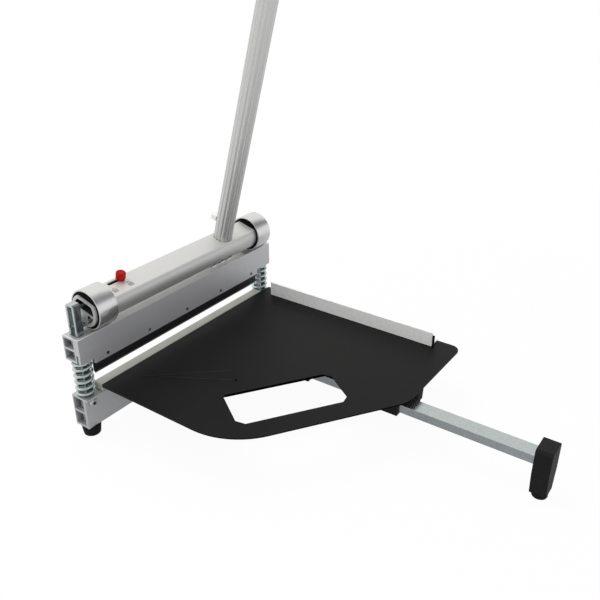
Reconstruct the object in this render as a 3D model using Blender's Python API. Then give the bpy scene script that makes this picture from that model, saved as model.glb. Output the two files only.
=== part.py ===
# Laminate cutter: a hand-levered guillotine shear for floor boards.
#
# Two aluminium beams lie one over the other on steel posts, with a spring round each post.
# A D-shaped shaft turns on pins set off its centre line. Its two rings bear on the upper
# beam, so pulling the handle down over the table drives the blade on to the anvil strip.
#
# Lengths are in metres. The bench frame that the pieces are modelled in has its X along
# the blade from the near end of the beams, its Y from the front face of the beams towards
# the back, and its Z up from the floor.

import bpy
import bmesh
from math import asin, atan2, cos, hypot, pi, radians, sin, sqrt, tan
from mathutils import Matrix, Vector

mm = 0.001

# Fits
seat_gap = 0.3 * mm
running_gap = 0.25 * mm
sliding_gap = 0.5 * mm
cut_past = 2 * mm
join_depth = 1 * mm

# Beams
beam_length = 393 * mm
beam_depth = 30 * mm
base_height = 47.6 * mm
upper_height = 36 * mm
spring_space = 54 * mm
beam_wall = 3 * mm
beam_back_wall = 2 * mm
base_front_wall = 4 * mm
base_nose = 5 * mm
base_nose_height = 3.4 * mm
upper_front_wall = 10 * mm

# Blade and the lip that holds it
lip_drop = 7.6 * mm
lip_wall = 4.2 * mm
lip_start = 22.5 * mm
lip_far_inset = 32.5 * mm
blade_thickness = 3 * mm
blade_grip = 12 * mm
blade_bevel = 2.2 * mm
blade_edge_land = 0.4 * mm
blade_end_gap = 0.5 * mm
blade_stop_gap = 0.4 * mm

# Posts
post_width = 15 * mm
post_depth = 11 * mm
post_y = 15 * mm
near_post_x = 12 * mm
far_post_inset = 9.5 * mm
post_head = 16 * mm
post_corner = 2.5 * mm
post_edge = 1.5 * mm
post_wall = 2.5 * mm
post_web = 4 * mm
post_channel_length = 76 * mm
post_bolt_drop = 10 * mm
post_bolt_radius = 3 * mm
post_bolt_head = 6.5 * mm
post_bolt_head_height = 4 * mm

# Springs
spring_wire = 3.7 * mm
spring_clear = 0.65 * mm
spring_turns = 6
spring_dead_turns = 0.75
spring_dead_pitch = 4.6 * mm
spring_points_per_turn = 9

# Lever shaft, its rings and bushes
shaft_radius = 22 * mm
shaft_flat = 15.6 * mm
shaft_wall = 3.6 * mm
shaft_rim = 4.2 * mm
shaft_rib = 2.8 * mm
shaft_boss = 7.5 * mm
shaft_overhang = 3 * mm
shaft_y = 12.5 * mm
bush_wall = 2.5 * mm
bush_inset = 0.2 * mm
ring_wall = 2.5 * mm
ring_edge = 0.8 * mm
ring_width = 30 * mm
near_ring_start = 28 * mm
lever_lean = radians(15.5)
lever_swing = radians(82)
pivot_offset = 16.5 * mm
pivot_radius = 3.5 * mm
pivot_reach = 22 * mm
pivot_head = 1 * mm
pivot_chamfer = 0.5 * mm
pivot_nut_radius = 7 * mm

# Handle
handle_inset = 103.5 * mm
handle_radius = 14 * mm
handle_flutes = 16
handle_flute_depth = 0.8 * mm
handle_bore = 10.6 * mm
handle_length = 560 * mm
grip_length = 125 * mm
grip_wall = 2.6 * mm
grip_lip = 1 * mm
grip_ring_depth = 0.9 * mm
grip_rings = 9
grip_plain_start = 8 * mm
grip_plain_end = 14 * mm
spigot_length = 84 * mm
handle_bolt_height = 42 * mm
handle_bolt_radius = 3 * mm
handle_bolt_head = 6.8 * mm
handle_bolt_head_height = 10 * mm
handle_bolt_past = 6 * mm
shaft_bolt_count = 3
shaft_bolt_pitch = 17 * mm
shaft_bolt_angle = radians(218)
shaft_bolt_radius = 2.5 * mm
shaft_bolt_head = 4.6 * mm
shaft_bolt_head_height = 3.6 * mm

# Transport lock
lock_x = 93 * mm
lock_travel = 10 * mm
lock_side = 9.5 * mm
lock_bolt_side = 5 * mm
lock_bolt_height = 5.4 * mm
lock_bolt_radius = 2.5 * mm
lock_stem_radius = 2.1 * mm
lock_slot_near = 12 * mm
lock_slot_far = 9 * mm
lock_carrier_half = 7 * mm
lock_carrier_side = 3 * mm
lock_tip_gap = 1.5 * mm
knob_radius = 7.2 * mm
knob_foot_radius = 6.5 * mm
knob_height = 12 * mm
knob_edge = 1.2 * mm

# Anvil and table
anvil_height = 11.3 * mm
anvil_depth = 15.7 * mm
anvil_start = 26.5 * mm
anvil_edge = 0.5 * mm
table_thickness = 5 * mm
table_left = 25 * mm
table_far_inset = 4 * mm
table_reach = 350 * mm
table_slant = radians(34)
table_slant_depth = 135.1 * mm
table_sweep = 100 * mm
table_corner = 14 * mm
table_front_corner = 42 * mm
table_back_corner = 3 * mm
window_x = 100 * mm
window_border = 30 * mm
window_length = 150 * mm
window_width = 69 * mm
window_corner = 10 * mm
window_back_corner = 3 * mm
marker_across = 36.7 * mm
marker_ahead = 8.2 * mm
marker_radius = 2.2 * mm

# Ribs under the table
rib_depth = 7 * mm
rib_wall = 3 * mm
rib_inset = 16 * mm
rib_back_inset = 46 * mm
rib_arm_clear = 8 * mm
rib_window_clear = 12 * mm
rib_window_start = 40 * mm

# Table brackets
bracket_width = 30 * mm
bracket_leg = 20 * mm
bracket_steel = 2.7 * mm
bracket_near_place = 100 * mm
bracket_far_inset = 75 * mm
bracket_bolt_radius = 2.5 * mm
bracket_bolt_head = 4.6 * mm
bracket_bolt_height = 3 * mm

# Fence
fence_inset = 21.5 * mm
fence_height = 21.7 * mm
fence_foot = 18 * mm
fence_steel = 2.5 * mm
fence_start = 22 * mm
fence_length = 291 * mm
fence_pivot_inset = 8 * mm
fence_pivot_radius = 3 * mm
fence_bolt_head = 6 * mm
fence_bolt_height = 3.4 * mm
fence_nut_height = 4.4 * mm
fence_cap_length = 3 * mm
fence_cap_drop = 4 * mm

# Feet and leg
foot_height = 15.5 * mm
foot_radius = 13.5 * mm
leg_inset = 67 * mm
leg_front_inset = 38 * mm
leg_top_size = 34 * mm
leg_neck_size = 26 * mm
leg_low_size = 22 * mm
leg_foot_height = 10 * mm
leg_foot_radius = 11 * mm
leg_flange = 3 * mm

# Extension
arm_inset = 148 * mm
arm_width = 22 * mm
arm_height = 12 * mm
arm_wall = 1.5 * mm
arm_drop = 8 * mm
arm_tail = 32 * mm
arm_reach_out = 174 * mm
guide_spacing = 140 * mm
guide_front_inset = 28 * mm
guide_length = 24 * mm
guide_wall = 4 * mm
stand_length = 21 * mm
stand_wall = 5 * mm
stand_shoulder = 12 * mm
stand_edge = 3 * mm
stand_foot_height = 8 * mm
stand_foot_radius = 10 * mm

# Heights and places that follow from the sizes above
base_bottom = foot_height + seat_gap
base_top = base_bottom + base_height
upper_bottom = base_top + spring_space
upper_top = upper_bottom + upper_height
anvil_top = base_top + seat_gap + anvil_height
table_top = anvil_top
table_under = table_top - table_thickness
bush_bore = shaft_radius + running_gap
bush_radius = bush_bore + bush_wall
ring_bore = bush_radius + running_gap
ring_radius = ring_bore + ring_wall
shaft_z = upper_top + seat_gap + ring_radius
post_top = shaft_z + post_head
far_post_x = beam_length - far_post_inset
far_post_inner = far_post_x - post_depth / 2
near_post_inner = near_post_x + post_depth / 2
far_ring_start = far_post_inner - sliding_gap - ring_width
shaft_start = near_ring_start - shaft_overhang
shaft_end = far_post_inner - sliding_gap
handle_x = beam_length - handle_inset
pivot_y = shaft_y + pivot_offset * sin(lever_lean)
pivot_z = shaft_z - pivot_offset * cos(lever_lean)
stroke = pivot_offset * (cos(lever_lean) + sin(lever_lean + lever_swing - pi / 2))
blade_edge = anvil_top + blade_stop_gap + stroke
lip_length = beam_length - lip_start - lip_far_inset
bracket_places = (bracket_near_place, beam_length - bracket_far_inset)
table_right = beam_length - table_far_inset
table_slant_start = table_reach - table_slant_depth
window_y = (table_slant_start + (window_x - table_left) * tan(table_slant)
            - (window_border + window_width) / cos(table_slant))
marker_x = window_x + marker_across
marker_y = window_y - marker_ahead
fence_x = table_right - fence_inset
leg_x = table_right - leg_inset
leg_y = table_reach - leg_front_inset
arm_x = table_right - arm_inset
arm_top = table_under - arm_drop
arm_bottom = arm_top - arm_height
arm_outer_end = table_reach + arm_reach_out
front_guide = table_reach - guide_front_inset
guide_places = (front_guide - guide_spacing, front_guide)
arm_inner_end = guide_places[0] - arm_tail
frame_x = (near_post_x + far_post_x) / 2
frame_y = (shaft_y + ring_radius - arm_outer_end - stand_length / 2) / 2


def clear_scene():
    for old in list(bpy.data.objects):
        bpy.data.objects.remove(old, do_unlink=True)


def paint(name, colour, roughness, metallic):
    material = bpy.data.materials.new(name)
    material.use_nodes = True
    shader = material.node_tree.nodes["Principled BSDF"]
    shader.inputs["Base Color"].default_value = (*colour, 1)
    shader.inputs["Roughness"].default_value = roughness
    shader.inputs["Metallic"].default_value = metallic
    material.diffuse_color = (*colour, 1)
    return material


def empty(name, parent, location=(0, 0, 0), tilt=0):
    holder = bpy.data.objects.new(name, None)
    bpy.context.collection.objects.link(holder)
    holder.parent = parent
    holder.location = location
    holder.rotation_euler.x = tilt
    return holder


def piece(name, shape, material, parent, location=(0, 0, 0), sharp=35):
    """Turn a bmesh into a named object under its parent."""
    bmesh.ops.recalc_face_normals(shape, faces=shape.faces)
    mesh = bpy.data.meshes.new(name)
    shape.to_mesh(mesh)
    shape.free()
    mesh.shade_smooth()
    mesh.set_sharp_from_angle(angle=radians(sharp))
    mesh.materials.append(material)
    return copy_of(mesh, name, parent, location)


def copy_of(mesh, name, parent, location=(0, 0, 0)):
    made = bpy.data.objects.new(name, mesh)
    bpy.context.collection.objects.link(made)
    made.parent = parent
    made.location = location
    return made


def shape_with(target, tool_shape, operation="DIFFERENCE"):
    """Cut a shape from the target, or join it on, with the tool in the target's own space."""
    mesh = bpy.data.meshes.new(target.name + "_tool")
    bmesh.ops.recalc_face_normals(tool_shape, faces=tool_shape.faces)
    tool_shape.to_mesh(mesh)
    tool_shape.free()
    tool = bpy.data.objects.new(mesh.name, mesh)
    bpy.context.collection.objects.link(tool)
    tool.parent = target
    tool.hide_render = True
    tool.display_type = "WIRE"
    step = target.modifiers.new(operation.lower(), "BOOLEAN")
    step.operation = operation
    step.solver = "EXACT"
    step.object = tool
    return step


def soften(target, width, segments=1, angle=40):
    edge = target.modifiers.new("edges", "BEVEL")
    edge.width = width
    edge.segments = segments
    edge.limit_method = "ANGLE"
    edge.angle_limit = radians(angle)
    return edge


def extruded(outline, along, start, end):
    """Extrude a flat outline along X, Y or Z, the outline given in the other two axes."""
    shape = bmesh.new()
    order = {"X": (2, 0, 1), "Y": (0, 2, 1), "Z": (0, 1, 2)}[along]
    corners = []
    for across, up in outline:
        spot = (across, up, start)
        corners.append(shape.verts.new((spot[order[0]], spot[order[1]], spot[order[2]])))
    face = shape.faces.new(corners)
    pushed = bmesh.ops.extrude_face_region(shape, geom=[face])
    moved = [item for item in pushed["geom"] if isinstance(item, bmesh.types.BMVert)]
    push = {"X": (end - start, 0, 0), "Y": (0, end - start, 0), "Z": (0, 0, end - start)}[along]
    bmesh.ops.translate(shape, verts=moved, vec=push)
    return shape


def block(low, high):
    shape = bmesh.new()
    size = Vector(high) - Vector(low)
    middle = (Vector(high) + Vector(low)) / 2
    place = Matrix.Translation(middle) @ Matrix.Diagonal((*size, 1))
    bmesh.ops.create_cube(shape, size=1, matrix=place)
    return shape


def turned(profile, along, steps, centre=(0, 0, 0)):
    """Spin a profile of (radius, height) points round an axis."""
    shape = bmesh.new()
    points = [shape.verts.new((radius, 0, height)) for radius, height in profile]
    edges = [shape.edges.new(pair) for pair in zip(points, points[1:])]
    if profile[0][0] > 0:
        edges.append(shape.edges.new((points[-1], points[0])))
    bmesh.ops.spin(shape, geom=points + edges, cent=(0, 0, 0), axis=(0, 0, 1), angle=2 * pi,
                   steps=steps)
    bmesh.ops.remove_doubles(shape, verts=shape.verts, dist=1e-6)
    turn = {"X": Matrix.Rotation(pi / 2, 4, "Y"), "Y": Matrix.Rotation(-pi / 2, 4, "X"), "Z": Matrix()}
    shape.transform(Matrix.Translation(centre) @ turn[along])
    return shape


def rod(radius, start, end, along, steps=24, centre=(0, 0, 0), chamfer=0.0):
    """A round bar with an optional chamfer at both ends, start and end measured along its axis."""
    profile = [(0, start), (radius - chamfer, start)]
    if chamfer > 0:
        profile += [(radius, start + chamfer), (radius, end - chamfer)]
    profile += [(radius - chamfer, end), (0, end)]
    return turned(profile, along, steps, centre)


def hollow_rod(bore, radius, start, end, along, steps=32, centre=(0, 0, 0)):
    return turned([(bore, start), (radius, start), (radius, end), (bore, end)], along, steps, centre)


def arc(centre, radius, start, end, steps):
    points = []
    for step in range(steps + 1):
        angle = start + (end - start) * step / steps
        points.append((centre[0] + radius * cos(angle), centre[1] + radius * sin(angle)))
    return points


def rounded(corners, arc_step=radians(15)):
    """An outline whose corners are (x, y, radius), each filleted between its two neighbours."""
    outline = []
    for index, (x, y, radius) in enumerate(corners):
        here = Vector((x, y))
        if radius <= 0:
            outline.append((x, y))
            continue
        before = (Vector(corners[index - 1][:2]) - here).normalized()
        after = (Vector(corners[(index + 1) % len(corners)][:2]) - here).normalized()
        half = before.angle(after) / 2
        middle = here + (before + after).normalized() * (radius / sin(half))
        first = here + before * (radius / tan(half)) - middle
        last = here + after * (radius / tan(half)) - middle
        begin = atan2(first.y, first.x)
        turn = (atan2(last.y, last.x) - begin + pi) % (2 * pi) - pi
        outline += arc(middle, radius, begin, begin + turn, max(1, round(abs(turn) / arc_step)))
    return outline


def slanted(points, origin, slant):
    """Turn points by the slant and put them at the origin."""
    placed = []
    for x, y, *rest in points:
        across = origin[0] + x * cos(slant) + y * sin(slant)
        along = origin[1] - x * sin(slant) + y * cos(slant)
        placed.append((across, along, *rest))
    return placed


def hex_bolt(head_radius, head_height, shank_radius, shank_length, along, centre, point=1):
    """A hexagon bolt whose head rests on the centre point, with its shank running the other way."""
    shape = bmesh.new()
    lift = Matrix.Translation((0, 0, point * head_height / 2))
    bmesh.ops.create_cone(shape, cap_ends=True, segments=6, radius1=head_radius,
                          radius2=head_radius, depth=head_height, matrix=lift)
    turn = {"X": Matrix.Rotation(pi / 2, 4, "Y"), "Y": Matrix.Rotation(-pi / 2, 4, "X"), "Z": Matrix()}
    shape.transform(Matrix.Translation(centre) @ turn[along])
    ends = sorted((point * head_height / 2, -point * shank_length))
    return shape, rod(shank_radius, ends[0], ends[1], along, 16, centre)


def add_hex_bolt(name, material, parent, **sizes):
    head, shank = hex_bolt(**sizes)
    bolt = piece(name, head, material, parent)
    shape_with(bolt, shank, "UNION")
    return bolt


def make_materials():
    return {
        "aluminium": paint("satin_aluminium", (0.66, 0.67, 0.68), 0.34, 1),
        "brushed": paint("turned_aluminium", (0.72, 0.72, 0.73), 0.26, 1),
        "zinc": paint("zinc_plated_steel", (0.60, 0.66, 0.67), 0.30, 1),
        "blade": paint("dark_blade_steel", (0.06, 0.06, 0.065), 0.45, 1),
        "black": paint("black_plastic", (0.022, 0.022, 0.023), 0.55, 0),
        "rubber": paint("black_rubber", (0.015, 0.015, 0.015), 0.8, 0),
        "red": paint("red_plastic", (0.55, 0.012, 0.012), 0.35, 0),
        "strip": paint("pale_nylon", (0.62, 0.61, 0.56), 0.5, 0),
    }


def make_base_beam(paints, root):
    """The lower extrusion: a nosed top flange over two cells that run its whole length."""
    outline = [(0, base_top), (0, base_top - base_nose_height),
               (base_nose, base_top - base_nose_height),
               (base_nose, base_bottom), (beam_depth, base_bottom), (beam_depth, base_top)]
    beam = piece("base_beam", extruded(outline, "X", 0, beam_length), paints["aluminium"], root)
    cell_front = base_nose + base_front_wall
    cell_back = beam_depth - beam_back_wall
    cell_height = (base_height - 3 * beam_wall) / 2
    for level in range(2):
        floor = base_bottom + beam_wall + level * (cell_height + beam_wall)
        shape_with(beam, block((-cut_past, cell_front, floor),
                               (beam_length + cut_past, cell_back, floor + cell_height)))
    for post_x in (near_post_x, far_post_x):
        shape_with(beam, post_hole(post_x, base_bottom + beam_wall / 2 + seat_gap, base_top + cut_past))
        shape_with(beam, rod(post_bolt_radius + running_gap, 0, beam_depth + cut_past, "Y",
                             centre=(post_x, 0, base_top - post_bolt_drop)))
    for place in bracket_places:
        shape_with(beam, rod(bracket_bolt_radius + running_gap, 0,
                             base_nose + base_front_wall + cut_past, "Y", 16,
                             (place + bracket_width / 2, 0, bracket_bolt_z())))
    return beam


def post_hole(post_x, low, high):
    half = Vector((post_depth / 2 + sliding_gap, post_width / 2 + sliding_gap))
    return block((post_x - half.x, post_y - half.y, low), (post_x + half.x, post_y + half.y, high))


def make_post(name, post_x, outward, paints, root):
    """A steel bar with a channel milled in the outer face of its upper part."""
    low = base_bottom + beam_wall + seat_gap
    left = post_y - post_width / 2
    right = post_y + post_width / 2
    outline = [(left, low), (right, low), (right, post_top - post_corner),
               (right - post_corner, post_top), (left + post_corner, post_top),
               (left, post_top - post_corner)]
    start = post_x - post_depth / 2
    post = piece(name, extruded(outline, "X", start, start + post_depth), paints["zinc"], root)
    soften(post, post_edge, 2)
    outer = post_x + outward * (post_depth / 2 + cut_past)
    floor = post_x - outward * (post_depth / 2 - post_web)
    shape_with(post, block((min(outer, floor), left + post_wall, post_top - post_channel_length),
                           (max(outer, floor), right - post_wall, post_top + cut_past)))
    shape_with(post, rod(pivot_radius + running_gap, start - cut_past,
                         start + post_depth + cut_past, "X", centre=(0, pivot_y, pivot_z)))
    shape_with(post, rod(post_bolt_radius + running_gap, left - cut_past, right + cut_past, "Y",
                         centre=(post_x, 0, base_top - post_bolt_drop)))
    return post


def lock_axis_y():
    return shaft_y + lock_bolt_side * cos(lever_lean) - lock_bolt_height * sin(lever_lean)


def lock_axis_z():
    return shaft_z + lock_bolt_side * sin(lever_lean) + lock_bolt_height * cos(lever_lean)


def make_posts(paints, root):
    near = make_post("near_post", near_post_x, -1, paints, root)
    shape_with(near, rod(lock_bolt_radius + sliding_gap, 0, near_post_inner + cut_past, "X", 20,
                         (0, lock_axis_y(), lock_axis_z())))
    make_post("far_post", far_post_x, 1, paints, root)
    for end, post_x in (("near", near_post_x), ("far", far_post_x)):
        height = base_top - post_bolt_drop
        grip = beam_depth - base_nose + 2 * seat_gap
        add_hex_bolt(end + "_post_bolt", paints["zinc"], root, head_radius=post_bolt_head,
                     head_height=post_bolt_head_height, shank_radius=post_bolt_radius,
                     shank_length=grip + post_bolt_head_height + join_depth, along="Y",
                     centre=(post_x, base_nose - seat_gap, height), point=-1)
        nut = hex_nut(post_bolt_head, post_bolt_radius + running_gap, beam_depth + seat_gap,
                      post_bolt_head_height, "Y", (post_x, 0, height))
        place_nut(end + "_post_nut", nut, paints["zinc"], root)


def hex_nut(radius, bore, start, thickness, along, centre):
    """A hexagon with a round hole, as the two shapes that a Boolean joins."""
    shape = bmesh.new()
    lift = Matrix.Translation((0, 0, start + thickness / 2))
    bmesh.ops.create_cone(shape, cap_ends=True, segments=6, radius1=radius, radius2=radius,
                          depth=thickness, matrix=lift)
    turn = {"X": Matrix.Rotation(pi / 2, 4, "Y"), "Y": Matrix.Rotation(-pi / 2, 4, "X"), "Z": Matrix()}
    shape.transform(Matrix.Translation(centre) @ turn[along])
    hole = rod(bore, start - cut_past, start + thickness + cut_past, along, 20, centre)
    return shape, hole


def place_nut(name, shapes, material, parent):
    nut = piece(name, shapes[0], material, parent)
    shape_with(nut, shapes[1])
    return nut


def make_pivots(paints, root):
    """The pins that carry the lever shaft, each set off the shaft's own centre line."""
    centre = (0, pivot_y, pivot_z)
    near_web = near_post_inner - post_web
    far_web = far_post_inner + post_web
    near_pin = rod(pivot_radius, near_web - pivot_head, shaft_start + pivot_reach, "X", 24, centre,
                   pivot_chamfer)
    piece("near_pivot_pin", near_pin, paints["zinc"], root)
    far_pin = rod(pivot_radius, shaft_end - pivot_reach, far_web + pivot_head, "X", 24, centre,
                  pivot_chamfer)
    piece("far_pivot_pin", far_pin, paints["zinc"], root)
    start = near_post_inner + seat_gap
    nut = hex_nut(pivot_nut_radius, pivot_radius + running_gap, start,
                  shaft_start - seat_gap - start, "X", centre)
    place_nut("near_pivot_nut", nut, paints["zinc"], root)


def make_anvil(paints, root):
    end = far_post_inner - (anvil_start - near_post_inner)
    bar = block((anvil_start, 0, base_top + seat_gap), (end, anvil_depth, anvil_top))
    strip = piece("anvil_strip", bar, paints["strip"], root)
    soften(strip, anvil_edge)


def spring_path():
    """Points of a coil with closed ends, from its lowest to its highest turn."""
    coil_radius = spring_coil_radius()
    low = base_top + seat_gap + spring_wire / 2
    high = upper_bottom - seat_gap - spring_wire / 2
    dead_rise = spring_dead_turns * spring_dead_pitch
    live_turns = spring_turns - 2 * spring_dead_turns
    live_pitch = (high - low - 2 * dead_rise) / live_turns
    count = round(spring_turns * spring_points_per_turn)
    points = []
    for step in range(count + 1):
        turn = spring_turns * step / count
        lower = min(turn, spring_dead_turns)
        upper = max(0, turn - spring_turns + spring_dead_turns)
        rise = (lower + upper) * spring_dead_pitch + (turn - lower - upper) * live_pitch
        angle = 2 * pi * turn
        points.append(Vector((coil_radius * cos(angle), coil_radius * sin(angle), low + rise)))
    lead_in = Vector((0, -spring_wire, 0))
    last_turn = 2 * pi * spring_turns
    lead_out = Vector((-sin(last_turn), cos(last_turn), 0)) * spring_wire
    return [points[0] + lead_in] + points + [points[-1] + lead_out]


def spring_coil_radius():
    """The coil clears the rounded corners of the post that it stands round."""
    corner = hypot(post_width / 2 - post_edge, post_depth / 2 - post_edge) + post_edge
    return corner + spring_clear + spring_wire / 2


def least_gap(points, thickness, apart):
    gaps = []
    for first in range(len(points)):
        for second in range(first + apart, len(points)):
            gaps.append((points[first] - points[second]).length - thickness)
    return min(gaps)


def make_springs(paints, root):
    path = spring_path()
    gap = least_gap(path, spring_wire, spring_points_per_turn // 2)
    print("least gap between spring turns in mm:", round(gap / mm, 2))
    for end, post_x in (("near", near_post_x), ("far", far_post_x)):
        coil = bpy.data.curves.new(end + "_spring", "CURVE")
        coil.dimensions = "3D"
        coil.bevel_depth = spring_wire / 2
        coil.bevel_resolution = 1
        coil.use_fill_caps = True
        line = coil.splines.new("POLY")
        line.points.add(len(path) - 1)
        for spot, point in zip(line.points, path):
            spot.co = (*point, 1)
        coil.materials.append(paints["zinc"])
        copy_of(coil, end + "_spring", root, (post_x, post_y, 0))


def make_upper_beam(paints, slider):
    """The upper extrusion, with the blade's slot and lip along its front, and its post holes."""
    lip_low = upper_bottom - lip_drop
    slot_back = lip_wall + blade_thickness + 2 * seat_gap
    slot_top = upper_bottom + blade_grip
    outline = [(0, upper_top), (0, lip_low), (lip_wall, lip_low), (lip_wall, slot_top),
               (slot_back, slot_top), (slot_back, upper_bottom), (beam_depth, upper_bottom),
               (beam_depth, upper_top)]
    beam = piece("upper_beam", extruded(outline, "X", 0, beam_length), paints["aluminium"], slider)
    cell_height = (upper_height - 3 * beam_wall) / 2
    for level in range(2):
        floor = upper_bottom + beam_wall + level * (cell_height + beam_wall)
        ceiling = floor + cell_height
        shape_with(beam, block((-cut_past, upper_front_wall, floor),
                               (beam_length + cut_past, beam_depth - beam_back_wall, ceiling)))
    for start, end in ((-cut_past, lip_start), (lip_start + lip_length, beam_length + cut_past)):
        shape_with(beam, block((start, -cut_past, lip_low - cut_past), (end, slot_back, upper_bottom)))
    for post_x in (near_post_x, far_post_x):
        shape_with(beam, post_hole(post_x, upper_bottom - cut_past, upper_top + cut_past))
    return beam


def make_blade(paints, slider):
    """A steel plate with a single ground bevel, held in the slot behind the lip."""
    front = lip_wall + seat_gap
    back = front + blade_thickness
    top = upper_bottom + blade_grip - seat_gap
    outline = [(front, top), (front, blade_edge), (front + blade_edge_land, blade_edge),
               (back, blade_edge + blade_bevel), (back, top)]
    start = lip_start + blade_end_gap
    end = lip_start + lip_length - blade_end_gap
    piece("blade", extruded(outline, "X", start, end), paints["blade"], slider)


def handle_outline():
    """The tube's fluted section: each flute is a land and a shallow groove, as shares of its pitch."""
    points = []
    pitch = 2 * pi / handle_flutes
    groove = handle_radius - handle_flute_depth
    for flute in range(handle_flutes):
        middle = flute * pitch
        for share, radius in ((-0.32, handle_radius), (0.12, handle_radius), (0.28, groove),
                              (0.52, groove)):
            angle = middle + share * pitch
            points.append((radius * cos(angle), radius * sin(angle)))
    return points


def make_shaft(paints, lever):
    """The D-shaped extrusion: one cell under its flat, and two beside the boss that takes the pins."""
    half = sqrt(shaft_radius ** 2 - shaft_flat ** 2)
    corner = asin(shaft_flat / shaft_radius)
    outline = arc((0, 0), shaft_radius, pi - corner, 2 * pi + corner, 30)
    bar = extruded(outline, "X", shaft_start, shaft_end)
    shaft = piece("lever_shaft", bar, paints["aluminium"], lever)
    inner = shaft_radius - shaft_rim
    top = shaft_flat - shaft_wall
    rib = shaft_rib / 2
    upper_cell = []
    for side in (-1, 1):
        for height in ((rib, top) if side < 0 else (top, rib)):
            upper_cell.append((side * sqrt(inner ** 2 - height ** 2), height))
    shape_with(shaft, extruded(upper_cell, "X", shaft_start - cut_past, shaft_end + cut_past))
    wall_angle = asin(-rib / inner)
    low_angle = asin(shaft_boss / inner) - pi / 2
    for side in (-1, 1):
        rim = arc((0, 0), inner, wall_angle, low_angle, 5)
        cell = [(side * shaft_boss, -rib)] + [(side * across, up) for across, up in rim]
        shape_with(shaft, extruded(cell, "X", shaft_start - cut_past, shaft_end + cut_past))
    for start, end in ((shaft_start - cut_past, shaft_start + pivot_reach + seat_gap),
                       (shaft_end - pivot_reach - seat_gap, shaft_end + cut_past)):
        shape_with(shaft, rod(pivot_radius + running_gap, start, end, "X",
                              centre=(0, 0, -pivot_offset)))
    shape_with(shaft, rod(handle_radius + seat_gap, rib, shaft_flat + cut_past, "Z", 32,
                          (handle_x, 0, 0)))
    slot_half = lock_stem_radius + sliding_gap
    low, high = lock_side - slot_half, lock_side + slot_half
    slot_near = lock_x - lock_travel - lock_slot_near
    slot_far = lock_x + lock_slot_far
    corner = slot_half * 0.98
    slot = rounded([(slot_near, low, corner), (slot_far, low, corner), (slot_far, high, corner),
                    (slot_near, high, corner)], radians(30))
    shape_with(shaft, extruded(slot, "Z", top - cut_past, shaft_flat + cut_past))
    for number in range(shaft_bolt_count):
        shape_with(shaft, shaft_bolt_rod(number, shaft_bolt_radius + running_gap, inner - cut_past,
                                         shaft_radius + cut_past))
    return shaft


def shaft_bolt_place(number):
    """The frame of one bolt under the shaft: its Z runs outwards through the rim."""
    along = handle_x - number * shaft_bolt_pitch
    return Matrix.Translation((along, 0, 0)) @ Matrix.Rotation(shaft_bolt_angle - pi / 2, 4, "X")


def shaft_bolt_rod(number, radius, start, end):
    shape = rod(radius, start, end, "Z", 16)
    shape.transform(shaft_bolt_place(number))
    return shape


def make_shaft_bolts(paints, lever):
    for number in range(shaft_bolt_count):
        head = bmesh.new()
        middle = shaft_radius + seat_gap + shaft_bolt_head_height / 2
        bmesh.ops.create_cone(head, cap_ends=True, segments=6, radius1=shaft_bolt_head,
                              radius2=shaft_bolt_head, depth=shaft_bolt_head_height,
                              matrix=Matrix.Translation((0, 0, middle)))
        head.transform(shaft_bolt_place(number))
        bolt = piece("shaft_bolt_%d" % (number + 1), head, paints["zinc"], lever)
        stem = shaft_bolt_rod(number, shaft_bolt_radius, shaft_radius - shaft_rim - join_depth,
                              middle)
        shape_with(bolt, stem, "UNION")


def make_rings(paints, near_ring, far_ring):
    for end, axis, start in (("near", near_ring, near_ring_start), ("far", far_ring, far_ring_start)):
        stop = start + ring_width
        profile = [(ring_bore, start), (ring_radius - ring_edge, start),
                   (ring_radius, start + ring_edge), (ring_radius, stop - ring_edge),
                   (ring_radius - ring_edge, stop), (ring_bore, stop)]
        piece(end + "_ring", turned(profile, "X", 48), paints["brushed"], axis)
        bush = hollow_rod(bush_bore, bush_radius, start + bush_inset, stop - bush_inset, "X", 40)
        piece(end + "_bush", bush, paints["black"], axis)


def make_handle(paints, lever):
    """A fluted tube over a steel spigot, held by a bolt from the back, with a grip at its end."""
    floor = shaft_rib / 2 + seat_gap
    tube_end = handle_length - grip_wall - seat_gap
    foot = (handle_x, 0, 0)
    tube = piece("handle_tube", extruded(handle_outline(), "Z", floor, tube_end),
                 paints["aluminium"], lever, foot)
    shape_with(tube, rod(handle_bore, floor - cut_past, handle_length + cut_past, "Z", 32))
    tip = -handle_bolt_past
    back = handle_radius + cut_past
    bolt_hole = handle_bolt_radius + running_gap
    shape_with(tube, rod(bolt_hole, 0, back, "Y", 16, (0, 0, handle_bolt_height)))
    spigot = piece("handle_spigot", rod(handle_bore - running_gap, floor, spigot_length, "Z", 32,
                                        chamfer=join_depth), paints["zinc"], lever, foot)
    shape_with(spigot, rod(bolt_hole, tip - seat_gap, back, "Y", 16, (0, 0, handle_bolt_height)))
    seat = handle_radius + seat_gap
    add_hex_bolt("handle_bolt", paints["zinc"], lever, head_radius=handle_bolt_head,
                 head_height=handle_bolt_head_height, shank_radius=handle_bolt_radius,
                 shank_length=seat - tip, along="Y", centre=(handle_x, seat, handle_bolt_height))
    make_grip(paints, lever)


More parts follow.
